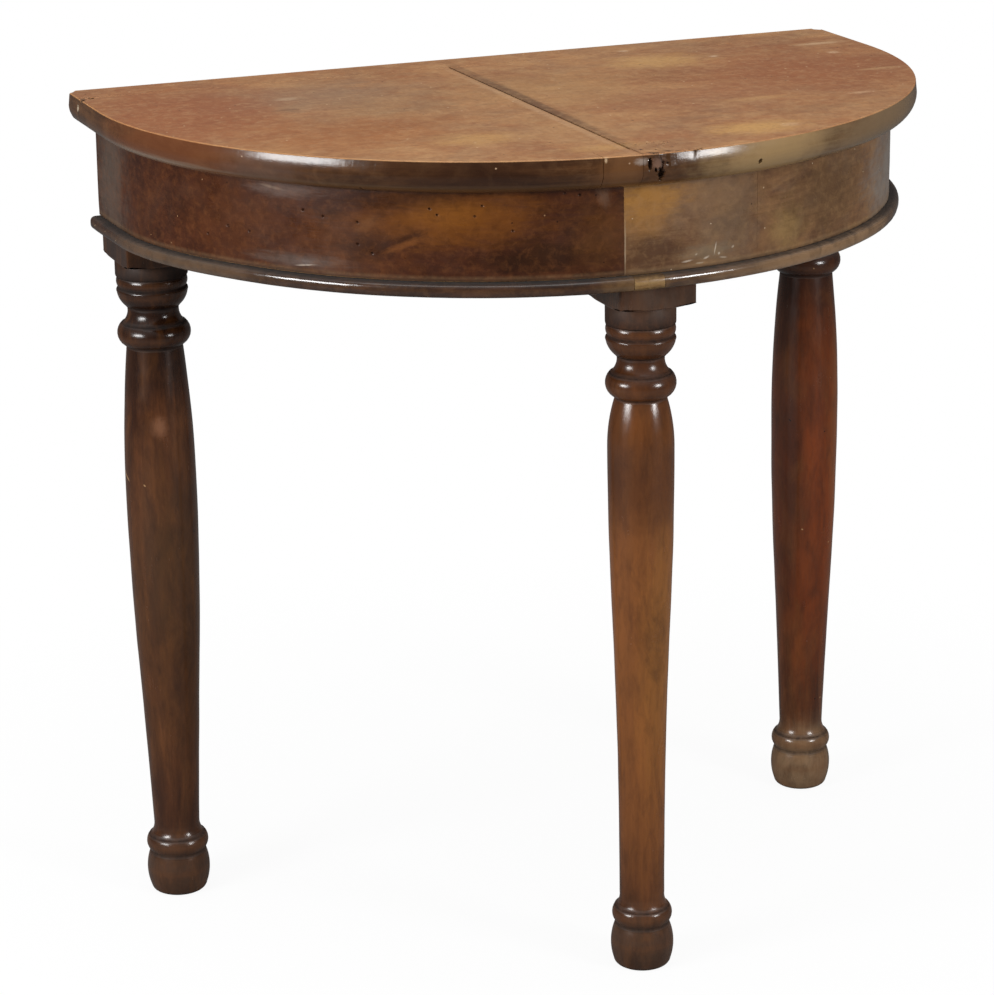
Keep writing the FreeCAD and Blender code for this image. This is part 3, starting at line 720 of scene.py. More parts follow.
def bend(work, start, end, straight):
    """Spin a section that stands on the +X side from one angle to another, then draw it on to the back."""
    bmesh.ops.rotate(work, verts=work.verts[:], cent=(0, CURVE_CENTRE_Y * MM, 0),
                     matrix=Matrix.Rotation(math.radians(start - 90), 3, "Z"))
    angle = math.radians(end - start)
    swept = bmesh.ops.spin(work, geom=everything(work), cent=(0, CURVE_CENTRE_Y * MM, 0), axis=(0, 0, 1),
                           angle=angle, steps=max(4, round(abs(angle) * FACE_RADIUS / BEND_STEP)))
    last = [item for item in swept["geom_last"] if isinstance(item, bmesh.types.BMFace)]
    for _ in range(STRAIGHT_STEPS if straight else 0):
        drawn = bmesh.ops.extrude_face_region(work, geom=last)
        bmesh.ops.translate(work, verts=new_points(drawn),
                            vec=(0, (APRON_END_Y - CURVE_CENTRE_Y) / STRAIGHT_STEPS * MM, 0))
        bmesh.ops.delete(work, geom=[face for face in last if face.is_valid], context="FACES_ONLY")
        last = [item for item in drawn["geom"] if isinstance(item, bmesh.types.BMFace)]


def ease(work, amount, size):
    """Let a surface wander in and out by a small amount over patches of a given size."""
    for point in work.verts:
        point.co += outward_of(point) * noise.noise(point.co / (size * MM)) * amount * MM


def sag(point):
    """How far the loosened left end of the bead has dropped at a point, in metres."""
    if point.co.x > 0:
        return 0
    share = min(1, max(0, (point.co.y / MM - SAG_START_Y) / (APRON_END_Y - SAG_START_Y)))
    return LEFT_SAG * MM * share * share * (3 - 2 * share)


print("apron from", VENEER_FOOT, "to", TOP_UNDERSIDE, "mm")


# %% Three lengths of veneer
WORM_HOLES = (
    (-66, 693), (-62, 704), (-58, 702), (-49, 727), (-46, 723), (-41, 720), (-41, 701), (-31, 734),
    (-30, 729), (-25, 728), (-24, 737), (-20, 715), (-13, 746), (-11, 744), (-39, 694),
)
FLAKE_PLACE = (-277, -99, 678)
FLAKE_SIZE = (16, 16, 3.0)
FLAKE_LIFT = (-0.5, -0.45, 0)


def build_veneer(node, slot, start, end, straight):
    """Bend a length of veneer from one angle to another, worn and soiled along its foot."""
    work = start_piece()
    height, depth = TOP_UNDERSIDE - VENEER_FOOT, FACE_RADIUS - CORE_RADIUS
    upright_net = (Matrix.Translation(((CORE_RADIUS + depth / 2) * MM, CURVE_CENTRE_Y * MM,
                                       (VENEER_FOOT + height / 2) * MM))
                   @ Matrix.Rotation(math.pi / 2, 4, "X") @ Matrix.Diagonal((depth * MM, height * MM, 1, 1)))
    bmesh.ops.create_grid(work, x_segments=1, y_segments=30, size=0.5, matrix=upright_net)
    bend(work, start, end, straight)
    ease(work, 0.35, 45)
    ease(work, 0.12, 12)
    for point in work.verts:
        over_foot = point.co.z / MM - VENEER_FOOT
        mark(work, "wear", [point], 0.45 * nearness(over_foot, [1.5], 1.5))
        mark(work, "grime", [point], 0.8 * nearness(over_foot, [0], 0.8))
        mark(work, "grime", [point], nearness(over_foot, [height], 3.0))
        point.co.z -= sag(point) * (1 - over_foot / height)
    if node == "veneer_left":
        press(work, FLAKE_PLACE, FLAKE_SIZE, FLAKE_LIFT, soil=0.3)
        for degrees, hole_z in WORM_HOLES:
            radial = Vector((math.sin(math.radians(degrees)), -math.cos(math.radians(degrees)), 0))
            spot = radial * FACE_RADIUS + Vector((0, CURVE_CENTRE_Y, hole_z))
            refine(work, spot, 2.6, 0.8)
            press(work, spot, (1.5, 1.5, 1.3), -radial * 1.2, ragged=0.2)
    keep_piece(work, node, slot)


VENEER_JOINTS = (-5, 15.7)
VENEER_GAP = 0.012
build_veneer("veneer_left", "dark_veneer", VENEER_JOINTS[0] - VENEER_GAP, -90, True)
build_veneer("veneer_front", "light_veneer", VENEER_JOINTS[0] + VENEER_GAP,
             VENEER_JOINTS[1] - VENEER_GAP, False)
build_veneer("veneer_right", "light_veneer", VENEER_JOINTS[1] + VENEER_GAP, 90, True)


# %% [markdown]
# ## The bead
# A half-round moulding runs along the foot of the apron, with a short pale repair near the front. Its
# section is half a capped circle with a flat tail behind it, bent round in the same way as the veneer. A
# curve with a bevelled outline would look alike at first. A spun mesh is chosen, because its nose can be
# worn flat and its left end can drop.

# %% Three lengths of bead
BEAD_FOOT = 658.0
BEAD_HEIGHT = 12.5
BEAD_NOSE = 376.0
NOSE_FLATNESS = 0.74


def build_bead(node, slot, start, end, straight):
    """Draw the bead's section, bend it round the table, and let it wander and drop as the real one has."""
    work = start_piece()
    half = BEAD_HEIGHT / 2
    middle = Vector((BEAD_NOSE - half, CURVE_CENTRE_Y, BEAD_FOOT + half)) * MM
    bmesh.ops.create_circle(work, cap_ends=True, segments=40, radius=half * MM,
                            matrix=Matrix.Translation(middle) @ Matrix.Rotation(math.pi / 2, 4, "X"))
    cut(work, everything(work), middle, (-1, 0, 0), drop=True)
    bmesh.ops.remove_doubles(work, verts=work.verts[:], dist=GLUE_REACH * MM)
    tail = [edge for edge in work.edges
            if all(abs(point.co.x - middle.x) < SAME_PLACE for point in edge.verts)]
    for point in work.verts:
        away = (point.co - middle) / (half * MM)
        flatter = [math.copysign(abs(part) ** NOSE_FLATNESS, part) * half * MM for part in away]
        point.co = middle + Vector((flatter[0], 0, flatter[2]))
    drawn = bmesh.ops.extrude_edge_only(work, edges=tail)
    bmesh.ops.translate(work, verts=new_points(drawn), vec=(CORE_RADIUS * MM - middle.x, 0, 0))
    bend(work, start, end, straight)
    ease(work, 0.4, 60)
    ease(work, 0.15, 9)
    for point in work.verts:
        up_bead = (point.co.z / MM - BEAD_FOOT) / BEAD_HEIGHT
        mark(work, "grime", [point], max(0, up_bead * 6 - 5))
        mark(work, "wear", [point], max(0, 1 - abs(up_bead - 0.55) * 6))
        point.co.z -= sag(point)
    keep_piece(work, node, slot)


BEAD_JOINTS = (-4, 0.3)
BEAD_GAP = 0.03
build_bead("bead_left", "bead_walnut", BEAD_JOINTS[0] - BEAD_GAP, -90, True)
build_bead("bead_patch", "light_bead", BEAD_JOINTS[0] + BEAD_GAP, BEAD_JOINTS[1] - BEAD_GAP, False)
build_bead("bead_right", "bead_walnut", BEAD_JOINTS[1] + BEAD_GAP, 90, True)

# %% [markdown]
# ## Making the finishes
# Every finish here is wood with old shellac, so the same few steps come back: long grain, zones where the
# colour has faded or darkened (and a few of painted shade and reflection), rubbed arrises, dirt in the
# hollows and a sheen that is never even.
# Colours are written as seen on a screen and turned to linear light by one function. One small helper
# adds any node.

# %% Colours and nodes
def paint(code):
    """A screen colour such as #A5734B as linear red, green, blue and full cover."""
    parts = [int(code[place:place + 2], 16) / 255 for place in (1, 3, 5)]
    return (*(part / 12.92 if part < 0.04045 else ((part + 0.055) / 1.055) ** 2.4 for part in parts), 1)


def add_node(tree, kind, sockets=None, **settings):
    """Add a node, make its settings, and fill its sockets with values, sockets or first outputs of nodes."""
    made = tree.nodes.new("ShaderNode" + kind)
    for name, setting in settings.items():
        setattr(made, name, setting)
    for socket, source in (sockets or {}).items():
        if isinstance(source, bpy.types.Node):
            source = source.outputs[0]
        if isinstance(source, bpy.types.NodeSocket):
            tree.links.new(source, made.inputs[socket])
        else:
            made.inputs[socket].default_value = source
    return made


def start_finish(name):
    """A new material with its node tree, its shader and the object's own coordinates."""
    material = bpy.data.materials.new(name)
    material.use_nodes = True
    tree = material.node_tree
    shader = next(node for node in tree.nodes if node.type == "BSDF_PRINCIPLED")
    place = add_node(tree, "TexCoord").outputs["Object"]
    return material, tree, shader, place


print("walnut brown is", [round(part, 3) for part in paint("#A5734B")])

# %% [markdown]
# Walnut shows a broad figure of lighter and darker bands and, within it, fine streaks along the grain.
# Both are noise that has been stretched: the three sizes say how long a feature is along X, Y and Z, in
# millimetres. A wave texture would draw bands too, but evenly, as no board has them.

# %% Grain
def wood_grain(tree, place, tones, figure_mm, streak_mm, contrast):
    """Colour of the grain, and the streaks by themselves for the zones, the sheen and the relief."""
    layers = []
    for sizes in (figure_mm, streak_mm):
        stretched = add_node(tree, "Mapping", {
            "Vector": place, "Scale": [1 / (size * MM) for size in sizes]})
        layers.append(add_node(tree, "TexNoise", {
            "Vector": stretched, "Scale": 1, "Detail": 6, "Roughness": 0.64,
            "Distortion": 0.8}).outputs[0])
    bands = add_node(tree, "ValToRGB", {"Fac": layers[0]})
    stops = bands.color_ramp.elements
    stops.new(0.5)
    for stop, position, tone in zip(stops, (0.34, 0.5, 0.66), tones):
        stop.position, stop.color = position, paint(tone)
    shade = add_node(tree, "MapRange", {
        "Value": layers[1], "From Min": 0.3, "From Max": 0.7,
        "To Min": 1 - contrast, "To Max": 1 + contrast})
    colour = add_node(tree, "Mix", {0: 1.0, 6: bands, 7: shade}, data_type="RGBA", blend_type="MULTIPLY")
    return colour.outputs[2], layers[1]


def clouds(tree, place, colour, layers):
    """Clouds of other tints over the colour; each has a tint, a size in millimetres and a strength."""
    for tint, size, strength in layers:
        drift = add_node(tree, "TexNoise", {
            "Vector": place, "Scale": 1 / (size * MM), "Detail": 9, "Roughness": 0.66, "Distortion": 0.5})
        cover = add_node(tree, "MapRange", {
            "Value": drift, "From Min": 0.48, "From Max": 0.7, "To Min": 0.0, "To Max": strength})
        colour = add_node(tree, "Mix", {0: cover, 6: colour, 7: paint(tint)}, data_type="RGBA").outputs[2]
    return colour


print("grain is drawn in two layers, figure and streaks")

# %% [markdown]
# Faded and darkened zones sit where they do on the table, and a few zones paint shade and reflections.
# A zone is an ellipse whose border is broken up by noise, and inside it the colour turns towards another
# one. Its place is given in the finish's own coordinates. A painted image could hold the zones, but it
# would need a UV map and would blur close up.

# %% Zones
ZONE_DEPTH = 60.0


def zone(tree, place, streaks, colour, tint, centre, reach, strength, ragged=0.9, tilt=0):
    """Turn the colour towards a tint inside an ellipse that frays along the grain; sizes in millimetres."""
    local = add_node(tree, "Mapping", {
        "Vector": place, "Location": [c * MM for c in centre], "Rotation": (0, 0, math.radians(tilt)),
        "Scale": [r * MM for r in reach]}, vector_type="TEXTURE")
    broken = add_node(tree, "TexNoise", {"Vector": local, "Scale": 1.7, "Detail": 8, "Roughness": 0.68})
    distance = add_node(tree, "VectorMath", {0: local}, operation="LENGTH")
    frayed = add_node(tree, "Math", {0: streaks, 1: 0.7, 2: distance.outputs["Value"]},
                      operation="MULTIPLY_ADD")
    border = add_node(tree, "Math", {0: broken, 1: ragged * 2, 2: frayed}, operation="MULTIPLY_ADD")
    cover = add_node(tree, "MapRange", {
        "Value": border, "From Min": 0.6 + ragged, "From Max": 1.75 + ragged,
        "To Min": strength, "To Max": 0.0}, interpolation_type="SMOOTHSTEP")
    return add_node(tree, "Mix", {0: cover, 6: colour, 7: paint(tint)}, data_type="RGBA").outputs[2]


print("zones reach", ZONE_DEPTH, "mm into the wood")


# %% Wear and grime
RUBBED_PATCH_MM = 6.0


def rub_and_soil(tree, place, colour, worn_tint, soil_tint, worn, soil):
    """Pale rubbed arrises and dark hollows, from the two numbers that every point carries."""
    for layer, tint, amount in (("wear", worn_tint, worn), ("grime", soil_tint, soil)):
        marked = add_node(tree, "Attribute", attribute_name=layer)
        patchy = add_node(tree, "TexNoise", {
            "Vector": place, "Scale": 1 / (RUBBED_PATCH_MM * MM), "Detail": 7, "Roughness": 0.7})
        thin = add_node(tree, "MapRange", {
            "Value": patchy, "From Min": 0.3, "From Max": 0.65, "To Min": 0.3, "To Max": 1.0})
        cover = add_node(tree, "Math", {0: marked.outputs["Fac"], 1: thin}, operation="MULTIPLY")
        limited = add_node(tree, "Math", {0: cover, 1: amount}, operation="MULTIPLY", use_clamp=True)
        colour = add_node(tree, "Mix", {0: limited, 6: colour, 7: paint(tint)},
                          data_type="RGBA").outputs[2]
    return colour


rubbed = sum(point.value > 0.5 for point in pieces["top_left_board"].data.attributes["wear"].data)
print("well rubbed points on the left board:", rubbed)


# %% Spots
def spots(tree, place, colour, tint, spacing_mm, size_mm, share):
    """Scattered ragged spots of a tint: chips, specks or worm holes. Only a share of the cells has one."""
    stray = add_node(tree, "TexNoise", {"Vector": place, "Scale": 1 / (size_mm * MM), "Detail": 3})
    ragged = add_node(tree, "VectorMath", {
        0: stray.outputs["Color"], 1: [size_mm * MM * 0.9] * 3, 2: place}, operation="MULTIPLY_ADD")
    cells = add_node(tree, "TexVoronoi", {
        "Vector": ragged, "Scale": 1 / (spacing_mm * MM)}, voronoi_dimensions="2D")
    chosen = add_node(tree, "Math", {0: cells.outputs["Color"], 1: share}, operation="LESS_THAN")
    spot = add_node(tree, "MapRange", {
        "Value": cells.outputs["Distance"], "From Min": size_mm / spacing_mm * 0.3,
        "From Max": size_mm / spacing_mm * 0.6, "To Min": 0.85, "To Max": 0.0})
    cover = add_node(tree, "Math", {0: spot, 1: chosen}, operation="MULTIPLY")
    return add_node(tree, "Mix", {0: cover, 6: colour, 7: paint(tint)}, data_type="RGBA").outputs[2]


print("a share of 0.18 in 20 mm cells:", round(0.18 * (100 / 20) ** 2, 1), "spots in a 100 mm square")

# %% [markdown]
# The last step of a finish is its sheen. Shellac that was rubbed by hand has streaks of higher and lower
# gloss and follows the open grain below it, so roughness and bump both come from the grain, with fine
# scratches added. Dirt is always dull, so the grime on a point takes the gloss away.

# %% Sheen and relief
GLOSS_CLOUD_MM = 38.0
SCRATCH_MM = 2.5    # real ones are finer; these are as coarse as they need to be to show


def sheen(tree, shader, place, colour, streaks, gloss, relief_mm):
    """Colour, uneven roughness and relief; gloss is the roughness of the best and of the dullest places."""
    cloudy = add_node(tree, "TexNoise", {
        "Vector": place, "Scale": 1 / (GLOSS_CLOUD_MM * MM), "Detail": 6, "Roughness": 0.7})
    both = add_node(tree, "Math", {0: streaks, 1: 0.35, 2: cloudy}, operation="MULTIPLY_ADD")
    polish = add_node(tree, "MapRange", {
        "Value": both, "From Min": 0.5, "From Max": 0.85, "To Min": gloss[0], "To Max": gloss[1]})
    dirt = add_node(tree, "Attribute", attribute_name="grime")
    rough = add_node(tree, "Math", {0: dirt.outputs["Fac"], 1: polish}, operation="MAXIMUM")
    scratches = add_node(tree, "TexNoise", {
        "Vector": place, "Scale": 1 / (SCRATCH_MM * MM), "Detail": 3, "Roughness": 0.6})
    height = add_node(tree, "Math", {0: scratches, 1: 0.35, 2: streaks}, operation="MULTIPLY_ADD")
    relief = add_node(tree, "Bump", {"Height": height, "Strength": 0.5, "Distance": relief_mm * MM})
    tree.links.new(colour, shader.inputs["Base Color"])
    tree.links.new(rough.outputs[0], shader.inputs["Roughness"])
    tree.links.new(relief.outputs[0], shader.inputs["Normal"])
    return polish


print("gloss varies over", GLOSS_CLOUD_MM, "mm, scratches over", SCRATCH_MM, "mm")


# %% Coordinates that follow the bend
def round_the_table(tree, place):
    """Coordinates that follow the bend: along the apron from the front, and up."""
    flat = add_node(tree, "SeparateXYZ", {0: place})
    ahead = add_node(tree, "Math", {0: CURVE_CENTRE_Y * MM, 1: flat.outputs["Y"]}, operation="SUBTRACT")
    angle = add_node(tree, "Math", {0: flat.outputs["X"], 1: ahead}, operation="ARCTAN2")
    along = add_node(tree, "Math", {0: angle, 1: FACE_RADIUS * MM}, operation="MULTIPLY")
    return add_node(tree, "CombineXYZ", {0: along, 1: flat.outputs["Z"]}).outputs[0]


def bend_zones(tree, around, streaks, colour, zones):
    """Zones on a bent face: tint, degrees from the front, height, reach, strength and tilt of each."""
    for tint, degrees, up_z, reach, strength, tilt in zones:
        centre = (math.radians(degrees) * FACE_RADIUS, up_z, 0)
        colour = zone(tree, around, streaks, colour, tint, centre, (*reach, ZONE_DEPTH), strength, tilt=tilt)
    return colour


print("from the front to a side:", round(math.radians(90) * FACE_RADIUS), "mm")

# %% [markdown]
# ### The top: sun-bleached walnut
# The top has lost most of its polish. It is a dry orange brown with hazy, reddish and straw-pale places,
# while its rim has kept the dark shellac. The two are told apart by height, with a rubbed line between
# them. Two materials on one board would meet at a hard line of the mesh, so one material holds both.

# %% Zones of the upper face and of the rim
TOP_ZONES = (
    ("#93745A", (-205, 120), (110, 70), 0.75), ("#94714F", (-140, 40), (80, 60), 0.4),
    ("#95532F", (-325, 100), (115, 150), 0.75), ("#A0602F", (-215, -60), (110, 70), 0.55),
    ("#955631", (280, 50), (140, 120), 0.75), ("#9C6240", (120, -30), (110, 60), 0.4),
    ("#B58A58", (20, 60), (90, 90), 0.4), ("#B68A5C", (-40, -120), (60, 80), 0.4),
    ("#C89A5E", (168, 150), (52, 34), 0.75), ("#CC9C5C", (112, -184), (48, 26), 0.8),
    ("#C4945A", (-126, -124), (40, 26), 0.75), ("#C4945A", (-36, -207), (40, 14), 0.65),
    ("#C0905C", (170, -63), (36, 9), 0.6), ("#D0AC84", (350, 170), (26, 6), 0.7),
    ("#D4B08C", (340, 119), (7, 6), 0.6), ("#C8A070", (339, 23), (24, 5), 0.5),
    ("#D0A880", (268, -78), (14, 5), 0.55), ("#D0A880", (144, -184), (10, 8), 0.5),
    ("#D8BC9C", (160, 215), (6, 4), 0.6), ("#D8BC9C", (227, 151), (5, 4), 0.6),
    ("#BFA080", (-217, 122), (12, 7), 0.6), ("#6A4A36", (-232, 71), (14, 7), 0.5),
    # 543824, a darker band on the right board beside the seam, is painted shade.
    ("#C8A078", (-30.5, -20), (5, 230), 0.45), ("#543824", (-19, 20), (7, 210), 0.7),
    ("#D8B890", (-57, -246), (3, 4), 0.6), ("#8A6040", (6, -222), (34, 22), 0.5),
)
RIM_ZONES = (
    ("#6E4026", -70, 765, (110, 60), 0.7, 0), ("#321C10", -26, 765, (95, 60), 0.7, 0),
    ("#714B2C", -6, 765, (20, 60), 0.7, 0), ("#A88A60", 16, 765, (74, 60), 0.8, 0),
    # 6E5238 and #8E7C6A, pale bands low on the rim, are painted reflection of the floor in its rounded
    # underside.
    ("#80694E", 41, 765, (130, 60), 0.8, 0), ("#6E5238", -38, 754, (280, 4), 0.5, 0),
    # 6C5448, greyish pink at -53 degrees, is painted sheen where the left lamp's highlight fades out.
    ("#8E7C6A", -76, 755, (100, 4.5), 0.65, 0), ("#6C5448", -53, 765, (40, 60), 0.4, 0),
    # B4A89E, a grey-white spot at -3.8 degrees, is a painted highlight on the repair's edge.
    ("#B4A89E", -3.8, 774, (6, 3), 0.45, 0), ("#CDB08C", -8.4, 777, (1.2, 2), 0.7, 0),
    ("#886858", -1.6, 771, (7, 5), 0.55, 0), ("#241811", -99.6, 764, (2, 11), 0.8, 0),
    ("#DCC8AC", -99.8, 771, (2.6, 3), 0.8, 0),
)
print("zones on top and rim:", len(TOP_ZONES), len(RIM_ZONES))

# %% The worn face of the top
# Shellac that has dried out scatters light softly, so the face looks like bare dusty wood. On the rim the
# waxed shellac is whole and mirrors the lamps in long streaks.
FACE_GLOSS = (0.42, 0.6)
RIM_GLOSS = (0.13, 0.22)
top_walnut, tree, shader, place = start_finish("walnut_worn_shellac")
board, streaks = wood_grain(tree, place, ("#96643E", "#AA774C", "#B88556"),
                            (120, 70, 60), (110, 4, 40), 0.1)
colour = clouds(tree, place, board, (("#8C6A50", 80, 0.5), ("#98562F", 55, 0.5), ("#C49A6A", 30, 0.45),
                                     ("#86583A", 14, 0.35)))
for tint, centre, reach, strength in TOP_ZONES:
    colour = zone(tree, place, streaks, colour, tint, (*centre, TOP_HEIGHT), (*reach, ZONE_DEPTH), strength)
colour = clouds(tree, place, colour, (("#7C4E30", 5, 0.4), ("#CBA276", 8, 0.3)))
colour = spots(tree, place, colour, "#D8B890", 20, 2.0, 0.18)
colour = spots(tree, place, colour, "#3A2214", 28, 1.9, 0.22)
print("face:", len(tree.nodes), "nodes")

# %% The dark rim of the top
around = round_the_table(tree, place)
rim, rim_streaks = wood_grain(tree, around, ("#382314", "#4C301B", "#603F25"),
                              (90, 26, 30), (70, 3, 3), 0.2)
rim = clouds(tree, around, rim, (("#2A1A12", 34, 0.5), ("#7C5A3C", 16, 0.35)))
rim = bend_zones(tree, around, rim_streaks, rim, RIM_ZONES)
rim = spots(tree, around, rim, "#1A100B", 26, 2.0, 0.14)
rim = spots(tree, around, rim, "#B8987A", 18, 1.5, 0.14)
print("face and rim:", len(tree.nodes), "nodes")

# %% Face, rim and bare underside, told apart by height
height = add_node(tree, "SeparateXYZ", {0: place}).outputs["Z"]
on_top = add_node(tree, "MapRange", {
    "Value": height, "From Min": (TOP_HEIGHT - 1.3) * MM, "From Max": (TOP_HEIGHT - 0.5) * MM,
    "To Min": 0.0, "To Max": 1.0}, interpolation_type="SMOOTHSTEP")
beneath = add_node(tree, "MapRange", {
    "Value": height, "From Min": (TOP_UNDERSIDE + 0.1) * MM, "From Max": (TOP_UNDERSIDE + 0.6) * MM,
    "To Min": 1.0, "To Max": 0.0})
bare = add_node(tree, "Mix", {0: 1.0, 6: board, 7: paint("#A08C7A")}, data_type="RGBA",
                blend_type="MULTIPLY")
for cover, tone in ((on_top, colour), (beneath, bare.outputs[2])):
    rim = add_node(tree, "Mix", {0: cover, 6: rim, 7: tone}, data_type="RGBA").outputs[2]
dull = add_node(tree, "Math", {0: on_top, 1: beneath}, operation="MAXIMUM")
colour = rub_and_soil(tree, place, rim, "#B98A58", "#1E130D", 0.55, 0.9)
polish = sheen(tree, shader, place, colour, streaks, FACE_GLOSS, 0.25)
for end, on_rim, on_face in zip(("To Min", "To Max"), RIM_GLOSS, FACE_GLOSS):
    gloss = add_node(tree, "MapRange", {"Value": dull, "To Min": on_rim, "To Max": on_face})
    tree.links.new(gloss.outputs[0], polish.inputs[end])
shader.inputs["Specular IOR Level"].default_value = 0.35
print(top_walnut.name, len(tree.nodes), "nodes")

# %% [markdown]
# ### The apron: figured walnut veneer
# The left length is dark red brown with orange places where the light comes through the thin polish. The
# two right-hand lengths are paler and pinker. Grain runs round the table, so these finishes use
# coordinates that follow the bend.

# %% One recipe for the finishes that follow the bend
def bent_finish(name, grain, under, zones, over, specks, rubbed, gloss, relief_mm, specular):
    """A polished finish round the table: grain, clouds, zones, finer clouds, specks, wear and sheen."""
    material, tree, shader, place = start_finish(name)
    around = round_the_table(tree, place)
    colour, streaks = wood_grain(tree, around, *grain)
    colour = clouds(tree, around, colour, under)
    colour = bend_zones(tree, around, streaks, colour, zones)
    colour = clouds(tree, around, colour, over)
    for speck in specks:
        colour = spots(tree, around, colour, *speck)
    colour = rub_and_soil(tree, place, colour, *rubbed)
    sheen(tree, shader, place, colour, streaks, gloss, relief_mm)
    shader.inputs["Specular IOR Level"].default_value = specular
    print(material.name, len(tree.nodes), "nodes")
    return material


print("10 degrees round the table are", round(math.radians(10) * FACE_RADIUS, 1), "mm of grain")

# %% Dark veneer
DARK_ZONES = (
    ("#784619", -28, 726, (85, 24), 0.8, 0), ("#8A5420", -28.3, 731, (36, 12), 0.55, 0),
    ("#583018", -60, 712, (70, 34), 0.5, 0), ("#643816", -43, 706, (50, 22), 0.45, 0),
    # 2A1810, a dark band high on the apron, is painted shade under the top's edge.
    ("#2C190C", -15, 692, (60, 16), 0.7, 0), ("#2A1810", -36, 742, (80, 10), 0.5, 0),
    ("#2E1A10", -40, 700, (26, 12), 0.6, 0), ("#30190C", -34, 708, (17, 4), 0.7, 22),
    ("#7E4C26", -34.6, 702, (19, 3), 0.6, 22), ("#7A4E2C", -39.8, 719, (12, 5), 0.45, 30),
    ("#74625A", -52, 743, (38, 7), 0.6, 0), ("#94806E", -54, 744, (12, 1.2), 0.5, -8),
    ("#7E6452", -7.8, 741, (6, 9), 0.45, 20), ("#6A5C54", -50, 682, (50, 6), 0.55, 0),
    # 64584E on the apron's left end is a painted grey reflection of the white surround.
    ("#C8B8A8", -49, 678.5, (9, 0.7), 0.7, 6), ("#64584E", -98, 712, (46, 90), 0.6, 0),
    ("#5E3A1C", -8, 708, (26, 30), 0.6, 0),
)
# Veneer cut with a knife has a deep, dark figure; its thick shellac gives a satin gloss.
dark_veneer = bent_finish(
    "walnut_veneer_dark_shellac",
    grain=(("#371C11", "#462517", "#55301B"), (70, 34, 30), (45, 3, 10), 0.14),
    under=(("#29150C", 34, 0.55), ("#66381A", 22, 0.4), ("#5E4638", 46, 0.2)),
    zones=DARK_ZONES,
    over=(("#2A160C", 12, 0.35), ("#8A5630", 7, 0.22)),
    specks=(("#A8845E", 13, 1.3, 0.14), ("#150C08", 19, 1.5, 0.16)),
    rubbed=("#A58A68", "#1C110C", 0.8, 0.85), gloss=(0.26, 0.42), relief_mm=0.2, specular=0.18)

# %% Pale veneer
LIGHT_ZONES = (
    ("#B07C3A", -1.5, 737, (40, 16), 0.85, 0), ("#A0703A", -1.8, 722, (26, 20), 0.6, 0),
    ("#4E301C", -0.8, 687, (44, 20), 0.8, 0), ("#6E5C4A", 11, 712, (30, 40), 0.5, 0),
    ("#9A7C4E", 21.6, 693, (22, 18), 0.65, 0), ("#80705A", 7.5, 684, (28, 7), 0.6, 0),
    ("#CFC0AC", 8.6, 686, (0.7, 5), 0.75, -12), ("#CFC0AC", 7.2, 679, (3, 0.9), 0.75, 15),
    ("#CFC0AC", 4.2, 678, (5, 0.8), 0.65, 4), ("#C4B49E", 9.9, 677, (4, 0.8), 0.65, -10),
    ("#C4B49E", 11.5, 685, (1.6, 0.9), 0.65, 30), ("#C4B49E", 6.2, 675, (4, 0.7), 0.55, 0),
    ("#CFC0AC", 9.2, 681, (1.2, 1.0), 0.75, 40), ("#C4B49E", 5.6, 683, (1.4, 0.8), 0.6, 25),
    ("#B09A80", -4.85, 696, (0.7, 22), 0.7, 0), ("#523C28", 31, 715, (70, 40), 0.65, 0),
    ("#8C6A4A", 9, 730, (36, 18), 0.5, 0),
    # This grey zone towards the right end of the apron is a painted reflection of the white surround.
    ("#86807A", 64, 715, (125, 80), 0.85, 0),
)
# The same veneer without the dark stain looks pinker and flatter, with light flecks where it has chipped.
light_veneer = bent_finish(
    "walnut_veneer_pale_shellac",
    grain=(("#644632", "#7A583C", "#8A6644"), (60, 34, 30), (45, 3, 10), 0.12),
    under=(("#523824", 30, 0.5), ("#94714A", 22, 0.45), ("#77695C", 40, 0.3)),
    zones=LIGHT_ZONES,
    over=(("#4E3420", 11, 0.3), ("#A8845A", 7, 0.22)),
    specks=(("#CDB898", 12, 1.3, 0.16), ("#2A1A10", 30, 1.5, 0.14)),
    rubbed=("#B59A70", "#22170F", 0.8, 0.85), gloss=(0.26, 0.42), relief_mm=0.2, specular=0.22)

# %% [markdown]
# ### The bead
# The bead is the glossiest piece, because every passing hand has polished its nose. Its repair is of
# paler wood. Both follow the veneer's recipe, so that only tones, sizes and gloss have to be chosen.

# %% Bead walnut and its pale repair
BEAD_ZONES = (
    ("#927456", 30, 666, (150, 40), 0.85, 0), ("#7A5C3A", -3, 666, (34, 40), 0.7, 0),
    ("#6E5A48", -72, 666, (120, 40), 0.6, 0),
)
# A scraped half round that hands have polished shows narrow bright lines on its nose.
bead_walnut = bent_finish(
    "walnut_bead_polished_shellac",
    grain=(("#2A1A12", "#3A2418", "#4C3020"), (90, 20, 20), (60, 2.5, 8), 0.2),
    under=(),
    zones=BEAD_ZONES,
    over=(("#24150E", 20, 0.5), ("#6E4E30", 9, 0.3)),
    specks=(("#B89C78", 16, 1.4, 0.18),),
    rubbed=("#7A5634", "#17100B", 0.2, 0.9), gloss=(0.12, 0.22), relief_mm=0.12, specular=0.75)

# Beech takes stain badly and fades to straw; the thin shellac on it is less glossy.
light_bead = bent_finish(
    "beech_bead_stained_shellac",
    grain=(("#6A5030", "#84643C", "#967446"), (40, 10, 14), (30, 2.5, 8), 0.2),
    under=(("#50381E", 10, 0.55), ("#B09060", 8, 0.35)),
    zones=(),
    over=(),
    specks=(),
    rubbed=("#B89868", "#2A1C12", 0.5, 0.9), gloss=(0.2, 0.32), relief_mm=0.12, specular=0.4)

# %% [markdown]
# ### The legs
# The legs were stained dark and polished on the lathe. Grain runs up the leg, the shaft glows orange
# where the polish is thin, and the grooves have filled with dark wax. The zones are balls here, not flat
# patches, so that they go right round a leg.

